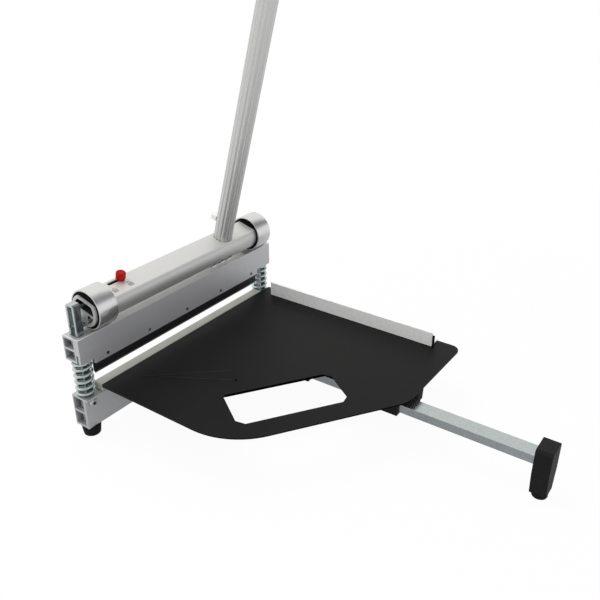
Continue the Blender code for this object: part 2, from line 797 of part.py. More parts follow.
def make_grip(paints, lever):
    """A ribbed rubber grip: a blind sleeve whose outside swells and has finger rings."""
    low = handle_length - grip_length
    bore = handle_radius + seat_gap
    skin = bore + grip_wall
    profile = [(bore, low), (skin + grip_lip, low)]
    start = low + grip_plain_start
    pitch = (grip_length - grip_plain_start - grip_plain_end) / grip_rings
    for ring in range(grip_rings):
        height = start + ring * pitch
        profile += [(skin, height), (skin - grip_ring_depth, height + pitch * 0.7),
                    (skin, height + pitch * 0.8)]
    crown = handle_length - grip_wall
    profile += [(skin + grip_lip / 2, handle_length - grip_plain_end / 2),
                (skin - grip_wall / 2, handle_length - grip_wall / 2),
                (bore - grip_lip, handle_length), (0, handle_length), (0, crown), (bore, crown)]
    shape = bmesh.new()
    points = [shape.verts.new((radius, 0, height)) for radius, height in profile]
    edges = [shape.edges.new((points[index], points[index - 1])) for index in range(len(points))]
    bmesh.ops.spin(shape, geom=points + edges, cent=(0, 0, 0), axis=(0, 0, 1), angle=2 * pi,
                   steps=28)
    bmesh.ops.remove_doubles(shape, verts=shape.verts, dist=1e-6)
    bmesh.ops.dissolve_degenerate(shape, edges=shape.edges, dist=1e-7)
    loose = [edge for edge in shape.edges if not edge.link_faces]
    bmesh.ops.delete(shape, geom=loose, context="EDGES")
    piece("handle_grip", shape, paints["rubber"], lever, (handle_x, 0, 0))


def make_lock(paints, lock):
    """The red knob stands in the shaft's slot and carries a bolt that enters the near post."""
    base = shaft_flat + seat_gap
    crown = base + knob_height
    profile = [(0, base), (knob_foot_radius, base), (knob_radius, crown - 2 * knob_edge),
               (knob_radius - knob_edge / 4, crown - knob_edge / 2),
               (knob_radius - knob_edge, crown), (0, crown)]
    centre = (lock_x, lock_side, 0)
    knob = piece("lock_knob", turned(profile, "Z", 28, centre), paints["red"], lock)
    block_top = shaft_flat - shaft_wall - seat_gap
    block_low = shaft_rib / 2 + seat_gap
    stem = rod(lock_stem_radius, block_top + seat_gap, base + join_depth, "Z", 16, centre)
    shape_with(knob, stem, "UNION")
    reach = lock_carrier_half
    body = block((lock_x - reach, lock_bolt_side - lock_carrier_side, block_low),
                 (lock_x + reach, lock_side + lock_carrier_side, block_top))
    carrier = piece("lock_bolt", body, paints["zinc"], lock)
    bolt = rod(lock_bolt_radius, near_post_inner + lock_tip_gap, lock_x, "X", 20,
               (0, lock_bolt_side, lock_bolt_height), lock_bolt_radius / 5)
    shape_with(carrier, bolt, "UNION")


def table_outline():
    right = table_right
    front = -table_reach
    slant_run = table_slant_depth / tan(table_slant)
    return rounded([(table_left, -seat_gap, table_back_corner),
                    (table_left, -table_slant_start, table_sweep),
                    (table_left + slant_run, front, table_front_corner),
                    (right, front, table_corner), (right, -seat_gap, table_back_corner)])


def window_outline():
    """The hand window, square to the slanted edge, with its corners cut off straight."""
    corners = rounded([(0, 0, window_back_corner), (window_length, 0, window_corner),
                       (window_length, -window_width, window_corner),
                       (0, -window_width, window_corner)], pi)
    return slanted(corners, (window_x, -window_y), table_slant)


def rib_lines():
    """The middle lines of the ribs, each as its two ends."""
    left = table_left + rib_inset
    right = table_right - rib_inset
    front = -table_reach + rib_inset
    back = -rib_back_inset
    arm_side = arm_x + arm_width + rib_arm_clear
    half = rib_wall / 2
    sweep_end = table_sweep / 4 - table_slant_start
    lines = [((left - half, back), (right + half, back)), ((left, sweep_end), (left, back)),
             ((right, front - half), (right, back)), ((arm_side, front), (right, front)),
             ((arm_side, front - half), (arm_side, back))]
    stop = arm_x - arm_width / 2 - rib_arm_clear
    outer = -window_width - window_border / 2
    inner_end = (stop - window_x) / cos(table_slant)
    outer_end = (stop - window_x - outer * sin(table_slant)) / cos(table_slant)
    lines.append(slanted([(-rib_window_start, rib_window_clear), (inner_end, rib_window_clear)],
                         (window_x, -window_y), table_slant))
    lines.append(slanted([(0, outer), (outer_end, outer)], (window_x, -window_y), table_slant))
    return lines


def make_table(paints, root):
    """A moulded plate with its slanted window and a grid of ribs below."""
    plate = extruded(table_outline(), "Z", table_under, table_top)
    table = piece("table", plate, paints["black"], root)
    low = table_under - rib_depth
    for start, end in rib_lines():
        run = (Vector(end) - Vector(start)).normalized() * rib_wall / 2
        side = Vector((-run.y, run.x))
        strip = [Vector(start) - side, Vector(end) - side, Vector(end) + side, Vector(start) + side]
        shape_with(table, extruded(strip, "Z", low, table_under + join_depth), "UNION")
    shape_with(table, extruded(window_outline(), "Z", low - cut_past, table_top + cut_past))
    shape_with(table, rod(marker_radius, table_under - cut_past, table_top + cut_past, "Z", 16,
                          (marker_x, -marker_y, 0)))
    shape_with(table, rod(fence_pivot_radius + running_gap, low - cut_past, table_top + cut_past,
                          "Z", 16, fence_pivot()))
    return table


def bracket_bolt_z():
    return base_top - base_nose_height - seat_gap - bracket_steel - bracket_leg / 2


def make_brackets(paints, root):
    """Folded steel that reaches round the nose of the base beam to carry the table's back edge."""
    face = base_nose - seat_gap
    under = base_top - base_nose_height - seat_gap
    top = table_under - seat_gap
    riser = -seat_gap - bracket_steel
    outline = [(face, under), (-seat_gap, under), (-seat_gap, top), (riser - bracket_leg, top),
               (riser - bracket_leg, top - bracket_steel), (riser, top - bracket_steel),
               (riser, under - bracket_steel), (face - bracket_steel, under - bracket_steel),
               (face - bracket_steel, under - bracket_steel - bracket_leg),
               (face, under - bracket_steel - bracket_leg)]
    for number, start in enumerate(bracket_places):
        plate = extruded(outline, "X", start, start + bracket_width)
        bracket = piece("table_bracket_%d" % (number + 1), plate, paints["zinc"], root)
        middle = (start + bracket_width / 2, 0, bracket_bolt_z())
        shape_with(bracket, rod(bracket_bolt_radius + running_gap, -cut_past, face + cut_past, "Y",
                                16, middle))
        add_hex_bolt("bracket_bolt_%d" % (number + 1), paints["zinc"], root,
                     head_radius=bracket_bolt_head, head_height=bracket_bolt_height,
                     shank_radius=bracket_bolt_radius,
                     shank_length=bracket_steel + base_front_wall + cut_past, along="Y",
                     centre=(middle[0], face - bracket_steel - seat_gap, middle[2]), point=-1)


def fence_pivot():
    return (fence_x + fence_steel + fence_foot / 2, -(fence_start + fence_pivot_inset), 0)


def make_fence(paints, fence, root):
    """A plated angle that stands square to the blade and swings on a bolt for mitre cuts."""
    pivot = Vector(fence_pivot())
    floor = table_top + seat_gap
    top = floor + fence_height
    inner = fence_x - pivot.x
    step = inner + fence_steel
    outline = [(inner, floor), (step + fence_foot, floor), (step + fence_foot, floor + fence_steel),
               (step, floor + fence_steel), (step, top), (inner, top)]
    near_end = -fence_start - pivot.y
    far_end = near_end - fence_length
    bar = piece("fence_bar", extruded(outline, "Y", far_end, near_end), paints["zinc"], fence)
    shape_with(bar, rod(fence_pivot_radius + running_gap, floor - cut_past,
                        floor + fence_steel + cut_past, "Z", 16))
    cap_end = far_end - seat_gap
    cap = block((inner, cap_end - fence_cap_length, floor), (step, cap_end, top - fence_cap_drop))
    piece("fence_end_cap", cap, paints["black"], fence)
    head = floor + fence_steel + seat_gap
    dome = rod(fence_bolt_head, head, head + fence_bolt_height, "Z", 24, tuple(pivot),
               fence_bolt_height / 4)
    bolt = piece("fence_pivot_bolt", dome, paints["zinc"], root)
    nut_low = table_under - seat_gap - fence_nut_height
    shank = rod(fence_pivot_radius, nut_low - cut_past, head + join_depth, "Z", 16, tuple(pivot))
    shape_with(bolt, shank, "UNION")
    nut = hex_nut(fence_bolt_head, fence_pivot_radius + running_gap, nut_low, fence_nut_height, "Z",
                  tuple(pivot))
    place_nut("fence_pivot_nut", nut, paints["zinc"], root)


def rubber_foot(radius, height):
    """A foot's profile: rounded below, straight above, with a small edge under its seat."""
    edge = height / 5
    return [(0, 0), (radius - edge * 1.2, 0), (radius - edge * 0.4, edge * 0.4),
            (radius - edge * 0.07, edge * 1.3), (radius, height - edge / 3),
            (radius - edge / 3, height), (0, height)]


def make_feet(paints, root):
    for end, post_x in (("near", near_post_x), ("far", far_post_x)):
        foot = turned(rubber_foot(foot_radius, foot_height), "Z", 32, (post_x, post_y, 0))
        piece(end + "_foot", foot, paints["rubber"], root)
    foot = turned(rubber_foot(leg_foot_radius, leg_foot_height), "Z", 28, (leg_x, -leg_y, 0))
    piece("leg_foot", foot, paints["rubber"], root)


def make_leg(paints, root):
    """A tapered moulded leg with a flange that screws up under the front of the table."""
    low = leg_foot_height + seat_gap
    high = table_under - seat_gap
    rings = []
    shape = bmesh.new()
    for height, size in ((low, leg_low_size), (high - leg_flange - join_depth, leg_neck_size),
                         (high - leg_flange, leg_top_size), (high, leg_top_size)):
        half = size / 2
        edge = size / 5
        corners = rounded([(-half, -half, edge), (half, -half, edge), (half, half, edge),
                           (-half, half, edge)], radians(30))
        rings.append([shape.verts.new((leg_x + x, -leg_y + y, height)) for x, y in corners])
    for lower, upper in zip(rings, rings[1:]):
        for index in range(len(lower)):
            shape.faces.new((lower[index - 1], lower[index], upper[index], upper[index - 1]))
    shape.faces.new(list(reversed(rings[0])))
    shape.faces.new(rings[-1])
    piece("table_leg", shape, paints["black"], root)


def make_guides(paints, root):
    """Two moulded saddles under the table that the extension arm slides in."""
    side = arm_width / 2 + sliding_gap
    for number, place in enumerate(guide_places):
        low = arm_bottom - sliding_gap - guide_wall
        wide = side + guide_wall
        body = block((arm_x - wide, -place - guide_length / 2, low),
                     (arm_x + wide, -place + guide_length / 2, table_under - seat_gap))
        saddle = piece("arm_guide_%d" % (number + 1), body, paints["black"], root)
        shape_with(saddle, block((arm_x - side, -place - guide_length, arm_bottom - sliding_gap),
                                 (arm_x + side, -place + guide_length, arm_top + sliding_gap)))


def make_extension(paints, extension):
    """A square tube that draws out from under the table, with a stand for long boards at its end."""
    half = arm_width / 2
    tube = block((-half, -arm_outer_end, arm_bottom), (half, -arm_inner_end, arm_top))
    arm = piece("extension_arm", tube, paints["zinc"], extension)
    shape_with(arm, block((-half + arm_wall, -arm_outer_end - cut_past, arm_bottom + arm_wall),
                          (half - arm_wall, -arm_inner_end + cut_past, arm_top - arm_wall)))
    wide = half + seat_gap + stand_wall
    low = stand_foot_height + seat_gap
    middle = -arm_outer_end
    foot_half = stand_foot_radius + join_depth
    shoulder = arm_bottom - stand_shoulder
    outline = [(-foot_half, low), (foot_half, low), (wide, shoulder),
               (wide, table_top - stand_edge), (wide - stand_edge, table_top),
               (-wide + stand_edge, table_top), (-wide, table_top - stand_edge), (-wide, shoulder)]
    post = extruded(outline, "Y", middle - stand_length / 2, middle + stand_length / 2)
    stand = piece("extension_stand", post, paints["black"], extension)
    shape_with(stand, block((-half - seat_gap, middle - seat_gap, arm_bottom - seat_gap),
                            (half + seat_gap, middle + stand_length, arm_top + seat_gap)))
    foot = turned(rubber_foot(stand_foot_radius, stand_foot_height), "Z", 28, (0, middle, 0))
    piece("stand_foot", foot, paints["rubber"], extension)


def build_cutter():
    clear_scene()
    paints = make_materials()
    root = empty("cutter_frame", None, (-frame_x, -frame_y, 0))
    slider = empty("upper_beam_slide", root)
    pivot = empty("lever_pivot", root, (0, pivot_y, pivot_z))
    lever = empty("lever_centre", pivot, (0, shaft_y - pivot_y, shaft_z - pivot_z), lever_lean)
    near_ring = empty("near_ring_axis", lever)
    far_ring = empty("far_ring_axis", lever)
    lock = empty("lock_slide", lever)
    fence = empty("fence_axis", root, fence_pivot())
    extension = empty("extension_slide", root, (arm_x, 0, 0))

    make_base_beam(paints, root)
    make_posts(paints, root)
    make_pivots(paints, root)
    make_anvil(paints, root)
    make_springs(paints, root)
    make_table(paints, root)
    make_brackets(paints, root)
    make_feet(paints, root)
    make_leg(paints, root)
    make_guides(paints, root)
    make_upper_beam(paints, slider)
    make_blade(paints, slider)
    make_shaft(paints, lever)
    make_shaft_bolts(paints, lever)
    make_handle(paints, lever)
    make_lock(paints, lock)
    make_rings(paints, near_ring, far_ring)
    make_fence(paints, fence, root)
    make_extension(paints, extension)
    print("blade stroke in mm:", round(stroke / mm, 3))
    print("pivot at y, z in mm:", round(pivot_y / mm, 3), round(pivot_z / mm, 3))


build_cutter()
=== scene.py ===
import math
import bmesh
import bpy
from mathutils import Matrix, Vector


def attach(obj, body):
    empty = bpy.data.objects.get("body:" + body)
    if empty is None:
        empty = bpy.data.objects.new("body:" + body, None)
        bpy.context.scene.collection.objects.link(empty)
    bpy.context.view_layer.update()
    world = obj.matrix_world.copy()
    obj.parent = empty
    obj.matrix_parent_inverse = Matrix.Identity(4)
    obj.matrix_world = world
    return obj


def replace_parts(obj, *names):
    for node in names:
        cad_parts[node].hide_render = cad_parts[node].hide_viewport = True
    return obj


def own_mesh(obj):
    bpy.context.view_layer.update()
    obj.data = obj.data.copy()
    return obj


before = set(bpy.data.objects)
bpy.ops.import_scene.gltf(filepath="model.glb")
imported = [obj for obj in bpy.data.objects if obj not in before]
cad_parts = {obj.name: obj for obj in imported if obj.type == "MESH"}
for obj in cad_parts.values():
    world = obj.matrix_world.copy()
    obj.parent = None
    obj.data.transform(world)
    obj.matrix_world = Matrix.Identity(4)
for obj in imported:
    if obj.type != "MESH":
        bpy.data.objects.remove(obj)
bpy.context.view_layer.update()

mm = 0.001
print("frame loaded:", len(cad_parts), "nodes")


class Sock:
    # wraps a node's socket, so that a sum on it adds Math nodes
    def __init__(self, tree, socket):
        self.tree = tree
        self.socket = socket

    def sum(self, operation, *values):
        return self.tree.node("ShaderNodeMath", {"operation": operation}, dict(enumerate(values)))

    def __add__(self, other):
        return self.sum("ADD", self, other)

    def __radd__(self, other):
        return self.sum("ADD", other, self)

    def __sub__(self, other):
        return self.sum("SUBTRACT", self, other)

    def __rsub__(self, other):
        return self.sum("SUBTRACT", other, self)

    def __mul__(self, other):
        return self.sum("MULTIPLY", self, other)

    def __rmul__(self, other):
        return self.sum("MULTIPLY", other, self)

    def __truediv__(self, other):
        return self.sum("DIVIDE", self, other)

    def least(self, other):
        return self.sum("MINIMUM", self, other)

    def most(self, other):
        return self.sum("MAXIMUM", self, other)

    def root(self):
        return self.sum("SQRT", self)

    def angle(self, other):
        return self.sum("ARCTAN2", self, other)

    def between(self, low, high):
        # 0 below low, 1 above high, smooth in between
        return self.tree.node("ShaderNodeMapRange", {"interpolation_type": "SMOOTHSTEP"},
                              {"Value": self, "From Min": low, "From Max": high})


class Tree:
    # adds nodes to a material's, a world's or a modifier's tree
    def __init__(self, nodeTree):
        self.nodeTree = nodeTree
        self.nodes = nodeTree.nodes

    def node(self, kind, settings=None, sockets=None, output=0):
        made = self.nodes.new(kind)
        for name, value in (settings or {}).items():
            if name == "stops":
                self.setStops(made.color_ramp, value)
            else:
                setattr(made, name, value)
        for key, value in (sockets or {}).items():
            self.set(made.inputs[key], value)
        return Sock(self, made.outputs[output]) if made.outputs else None

    def set(self, socket, value):
        if isinstance(value, Sock):
            self.nodeTree.links.new(value.socket, socket)
        else:
            socket.default_value = value

    def setStops(self, ramp, stops):
        while len(ramp.elements) < len(stops):
            ramp.elements.new(0.5)
        for element, (place, colour) in zip(ramp.elements, stops):
            element.position = place
            element.color = (*colour, 1)

    def blendColour(self, factor, first, second):
        # a Mix node's colours are its sockets 6 and 7, and its colour output is number 2
        return self.node("ShaderNodeMix", {"data_type": "RGBA"}, {0: factor, 6: first, 7: second}, 2)

    def cloudy(self, factor, colour, darker, paler):
        # the colour, wandering between a darker and a paler share of itself
        dull = tuple(part * darker for part in colour)
        pale = tuple(min(1, part * paler) for part in colour)
        return self.blendColour(factor, (*dull, 1), (*pale, 1))

    def join(self, x, y, z):
        return self.node("ShaderNodeCombineXYZ", None, {0: x, 1: y, 2: z})


def objectAxes(tree, centre=(0, 0, 0), tilt=0):
    # the piece's own X, Y and Z in metres, moved to a centre and turned about X
    place = tree.node("ShaderNodeTexCoord", None, None, "Object")
    centred = tree.node("ShaderNodeVectorMath", {"operation": "SUBTRACT"}, {0: place, 1: centre})
    level = tree.node("ShaderNodeVectorRotate", {"rotation_type": "X_AXIS"}, {"Vector": centred, "Angle": -tilt})
    return [tree.node("ShaderNodeSeparateXYZ", None, {0: level}, axis) for axis in "XYZ"]


def noise(tree, place, scale=1.0, detail=3.0, roughness=0.5):
    return tree.node("ShaderNodeTexNoise", None,
                     {"Vector": place, "Scale": scale, "Detail": detail, "Roughness": roughness})


class Finish(Tree):
    # a material's tree with its shader
    def __init__(self, name):
        self.material = bpy.data.materials.new(name)
        self.material.use_nodes = True
        super().__init__(self.material.node_tree)
        self.shader = self.nodes["Principled BSDF"]

    def feed(self, **values):
        # sets or links the shader's sockets, whose names are written without their spaces
        for name, value in values.items():
            self.set(next(entry for entry in self.shader.inputs if entry.name.replace(" ", "") == name), value)
        return self.material


def bump(tree, height, strength, depth=0.1 * mm):
    return tree.node("ShaderNodeBump", None, {"Strength": strength, "Distance": depth, "Height": height})


def insideBox(axes, low, high, fade=0.4 * mm):
    # 1 inside a box in the axes' own frame, 0 outside it
    share = 1
    for axis, start, end in zip(axes, low, high):
        share = share * axis.between(start, start + fade) * (1 - axis.between(end - fade, end))
    return share


# of these, the cell tone is painted shade in cells, the crown tone painted light on tops, the mirrored tone painted
# shade and dark reflection, the rim tone a painted highlight along the table's top edge, the side tone painted shade
# on its sides, and the knob's darker red painted shade on its crown
tones = {
    "cell": (0.02, 0.02, 0.021, 1), "crown": (0.84, 0.835, 0.82, 1),
    "mirrored": (0.05, 0.06, 0.06, 1),
    "blackened": ((0.012, 0.012, 0.013, 1), (0.03, 0.03, 0.032, 1)), "ground": (0.42, 0.42, 0.43, 1),
    "rim": (0.035, 0.035, 0.035, 1), "side": (0.002, 0.002, 0.002, 1),
    "red": ((0.44, 0.006, 0.004, 1), (0.55, 0.009, 0.006, 1)), "wornRed": (0.16, 0.006, 0.004, 1),
    "nylon": ((0.42, 0.42, 0.385, 1), (0.50, 0.50, 0.46, 1)),
}

aluminium = {
    "dieLines": 700.0, "alongLines": 2.0,  # noise scales across the bar and along it
    # the first share is how dark the painted shade in the cells gets, the second how much less of a mirror the tops
    # with painted light are
    "cellShare": 0.92, "crownMirrorLoss": 0.42,
}


def drawnAluminium(name, colour, centre=(0, 0, 0), tilt=0, along=0, roughness=0.5, metallic=0.75, cells=(),
                   grainDepth=0.07, reach=0.4 * mm, matt=None, topLightShare=1, plain=()):
    # extruded and anodised: faint die lines along the bar, a fine matt grain and soft cloudiness; the insides of its
    # cells, given as boxes, are painted dark as shade, the painted shade deepening from their open ends over the
    # reach; faces above the height matt are painted paler as light from above and made less of a mirror, except in
    # the boxes of plain, at the posts and under the rings
    tree = Finish(name)
    axes = objectAxes(tree, centre, tilt)
    stretch = [aluminium["dieLines"]] * 3
    stretch[along] = aluminium["alongLines"]
    lines = noise(tree, tree.join(*[axis * amount for axis, amount in zip(axes, stretch)]), roughness=0.6)
    grain = noise(tree, tree.join(*axes), scale=2600.0, detail=2.0)
    clouds = noise(tree, tree.join(*axes), scale=14.0)
    tone = (lines * 0.5 + clouds * 0.3 + grain * 0.2).between(0.36, 0.64)
    shade = tree.cloudy(tone, colour, 0.965, 1.035)
    # painted shade inside the cells, deepening from their open ends
    for low, high in cells:
        deep = insideBox(axes, low, high) * insideBox(axes[:1], low[:1], high[:1], reach)
        shade = tree.blendColour(deep * aluminium["cellShare"], shade, tones["cell"])
    # painted light: faces above the height matt are painted paler, as lit from above, and made less of a mirror
    if matt:
        crown = axes[2].between(matt - 0.3 * mm, matt) * topLightShare
        for low, high in plain:
            crown = crown * (1 - insideBox(axes[:2], low[:2], high[:2], 0.5 * mm))
        shade = tree.blendColour(crown, shade, tones["crown"])
        metallic = metallic - crown * aluminium["crownMirrorLoss"]
    return tree.feed(BaseColor=shade, Metallic=metallic,
                     Roughness=roughness + (lines - 0.5) * 0.08 + (clouds - 0.5) * 0.06,
                     Normal=bump(tree, lines * 0.6 + grain * 0.4, grainDepth))


def turnedAluminium(name, colour, centre):
    # turned on a lathe: very fine rings round the X axis
    tree = Finish(name)
    x, y, z = objectAxes(tree, centre)
    radius = (y * y + z * z).root()
    around = z.angle(y)
    fine, broad = 1500, 210  # noise scales of the tool marks
    rings = noise(tree, tree.join(x * fine, radius * fine, around * 0.9), roughness=0.65)
    coarse = noise(tree, tree.join(x * broad, radius * broad, around * 0.5), detail=2.0)
    tone = (rings * 0.6 + coarse * 0.4).between(0.3, 0.7)
    return tree.feed(BaseColor=tree.cloudy(tone, colour, 0.96, 1.03), Metallic=0.84,
                     Roughness=0.24 + (rings - 0.5) * 0.08, Normal=bump(tree, rings, 0.05, depth=0.06 * mm))


def zincPlate(name, colour, flake=420.0, roughness=0.26, metallic=0.94, play=0.08, paintedShadeBoxes=()):
    # bright zinc: bluish, with small flakes that catch the light a little differently; in each box it is given it is
    # painted dark as shade and dark reflection, with the share of the dark in that box
    tree = Finish(name)
    axes = objectAxes(tree)
    place = tree.join(*axes)
    flakes = tree.node("ShaderNodeTexVoronoi", None, {"Vector": place, "Scale": flake}, "Color")
    shade = tree.node("ShaderNodeSeparateColor", None, {0: flakes})
    haze = noise(tree, place, scale=60.0, detail=4.0)
    tone = (shade * 0.5 + haze * 0.5).between(0.2, 0.8)
    plate = tree.cloudy(tone, colour, 1 - play, 1 + play / 2)
    # painted shade and dark reflection in the given boxes
    for low, high, share in paintedShadeBoxes:
        plate = tree.blendColour(insideBox(axes, low, high) * share, plate, tones["mirrored"])
    return tree.feed(BaseColor=plate, Metallic=metallic,
                     Roughness=roughness + (shade - 0.5) * 0.06 + (haze - 0.5) * 0.1,
                     Normal=bump(tree, haze * 0.7 + shade * 0.3, 0.05))


def groundBlade(name, edgeHeight, bevelHeight):
    # blackened plate with a bright ground edge along its foot
    tree = Finish(name)
    x, y, z = objectAxes(tree)
    ground = 1 - z.between(edgeHeight + bevelHeight * 0.85, edgeHeight + bevelHeight * 1.05)
    along, across = 60, 900  # noise scales of the grinding marks
    scratch = noise(tree, tree.join(x * along, y * across, z * across))
    black = tree.blendColour(scratch, *tones["blackened"])
    return tree.feed(BaseColor=tree.blendColour(ground, black, tones["ground"]), Metallic=0.55 + ground * 0.4,
                     Roughness=0.48 - ground * 0.18 + (scratch - 0.5) * 0.15, Normal=bump(tree, scratch, 0.12))


def mouldedBlack(name, colour, grain=1700.0, roughness=0.5, rub=0.4, gloss=0.25, rim=None):
    # moulded plastic: a fine leathery grain, faint flow marks and handling rub; rim is the height of a plate's top,
    # under whose edge a pale line is a painted highlight and whose sides are painted black as shade
    tree = Finish(name)
    axes = objectAxes(tree)
    place = tree.join(*axes)
    pits = tree.node("ShaderNodeTexVoronoi", None, {"Vector": place, "Scale": grain})
    flow = noise(tree, place, scale=9.0)
    wear = noise(tree, place, scale=70.0, detail=5.0, roughness=0.7)
    shade = tree.cloudy((flow * 0.6 + wear * 0.4).between(0.35, 0.7), colour, 1, 1 + rub)
    if rim:
        # a painted highlight as a pale line under the top edge, and painted shade making the sides below it black
        height = axes[2]
        edge = height.between(rim - 0.6 * mm, rim - 0.4 * mm) * (1 - height.between(rim - 0.12 * mm, rim - 0.02 * mm))
        side = 1 - height.between(rim - 0.75 * mm, rim - 0.55 * mm)
        shade = tree.blendColour(side, tree.blendColour(edge, shade, tones["rim"]), tones["side"])
        tree.feed(Metallic=side)
    return tree.feed(BaseColor=shade, SpecularIORLevel=gloss,
                     Roughness=roughness + (flow - 0.5) * 0.12 + (wear - 0.5) * 0.1,
                     Normal=bump(tree, pits * 0.8 + wear * 0.4, 0.16))


def mouldedRed(name, centre, tilt, crown):
    # moulded plastic, painted a little darker on its crown as shade
    tree = Finish(name)
    flow = noise(tree, tree.join(*objectAxes(tree)), scale=120.0)
    shade = tree.blendColour(flow.between(0.3, 0.7), *tones["red"])
    # painted shade on the crown
    shadedCrown = objectAxes(tree, centre, tilt)[2].between(crown - 1.6 * mm, crown - 0.6 * mm)
    return tree.feed(BaseColor=tree.blendColour(shadedCrown * 0.45, shade, tones["wornRed"]), SpecularIORLevel=0.12,
                     Roughness=0.4 + (flow - 0.5) * 0.14, Normal=bump(tree, flow, 0.06))


def sawnNylon(name):
    # pale nylon strip with the fine score lines of use across it
    tree = Finish(name)
    x, y, z = objectAxes(tree)
    along, across = 40, 1400  # noise scales of the score lines
    score = noise(tree, tree.join(x * along, y * across, z * across))
    haze = noise(tree, tree.join(x, y, z), scale=45.0, detail=4.0)
    tone = (score * 0.4 + haze * 0.6).between(0.3, 0.7)
    return tree.feed(BaseColor=tree.blendColour(tone, *tones["nylon"]), Roughness=0.46 + (haze - 0.5) * 0.2,
                     Normal=bump(tree, score, 0.1, depth=0.08 * mm))


# places in the model's frame, which has its origin under the middle of the cutter
frameShift = Vector((-197.75 * mm, 247.25 * mm, 0))
nearX, farX, postY = 12, 383.5, 15  # the middles of the posts, in millimetres
leverLean = math.radians(15.5)
shaftCentre = Vector((0, 12.5 * mm, 181.2 * mm)) + frameShift
spinCentre = (0, shaftCentre.y, shaftCentre.z)
benchPlace = Matrix.Translation(frameShift) @ Matrix.Scale(mm, 4)  # shapes are drawn in millimetres
spinPlace = Matrix.Translation(shaftCentre) @ Matrix.Scale(mm, 4)
leverPlace = Matrix.Translation(shaftCentre) @ Matrix.Rotation(leverLean, 4, "X") @ Matrix.Scale(mm, 4)


def atBench(x, y, z):
    return Vector((x * mm, y * mm, z * mm)) + frameShift


def onShaft(x, across, up):
    # a point in the lever shaft's own frame, which leans with the handle
    leaned = Matrix.Rotation(leverLean, 3, "X") @ Vector((0, across * mm, up * mm))
    return Vector((x * mm + frameShift.x, shaftCentre.y + leaned.y, shaftCentre.z + leaned.z))


def benchBox(low, high, *share):
    # a box between two corners in millimetres, and how strongly it darkens where that is given
    return tuple(atBench(*low)), tuple(atBench(*high)), *share


# boxes in which the beams' cells are painted dark as shade, and the tops at the posts and under the rings, which the
# painted light on the tops leaves out
beamCells = [benchBox((0.4, 7.6, 18.2), (392.6, 28.6, 61.2)), benchBox((0.4, 5.6, 119.6), (392.6, 28.6, 151.2))]
beamSeats = [benchBox((1.2, 1.6, 150), (58, 29, 158)), benchBox((335, 1.6, 150), (391.8, 29, 158))]
# boxes on the posts painted dark as shade and dark reflection, with the share of the dark: the pockets, the front
# faces, and the outer faces below the pockets
postShades = [benchBox((7.4, 9.6, 120), (14, 20.4, 195), 0.1), benchBox((380, 9.6, 120), (388.4, 20.4, 195), 0.1),
              benchBox((7.9, 7, 60), (17, 8.1, 174), 0.5), benchBox((7.9, 7, 174), (17, 8.1, 200), 0.72),
              benchBox((379, 7, 60), (388, 8.1, 200), 0.72), benchBox((6, 9.2, 60), (7.1, 22, 119), 0.72),
              benchBox((388, 9.2, 60), (389.5, 22, 119), 0.72)]
# the sockets of the post bolts, painted dark inside as shade
boltSockets = [benchBox((x - 3, 1.1, 50.4), (x + 3, 5.5, 56.4), 0.72) for x in (nearX, farX)]
# the box in which the shaft's cells are painted dark as shade
shaftCells = [((atBench(25.4, 0, 0).x, -17.9 * mm, -9 * mm), (atBench(377.1, 0, 0).x, 17.9 * mm, 13.4 * mm))]

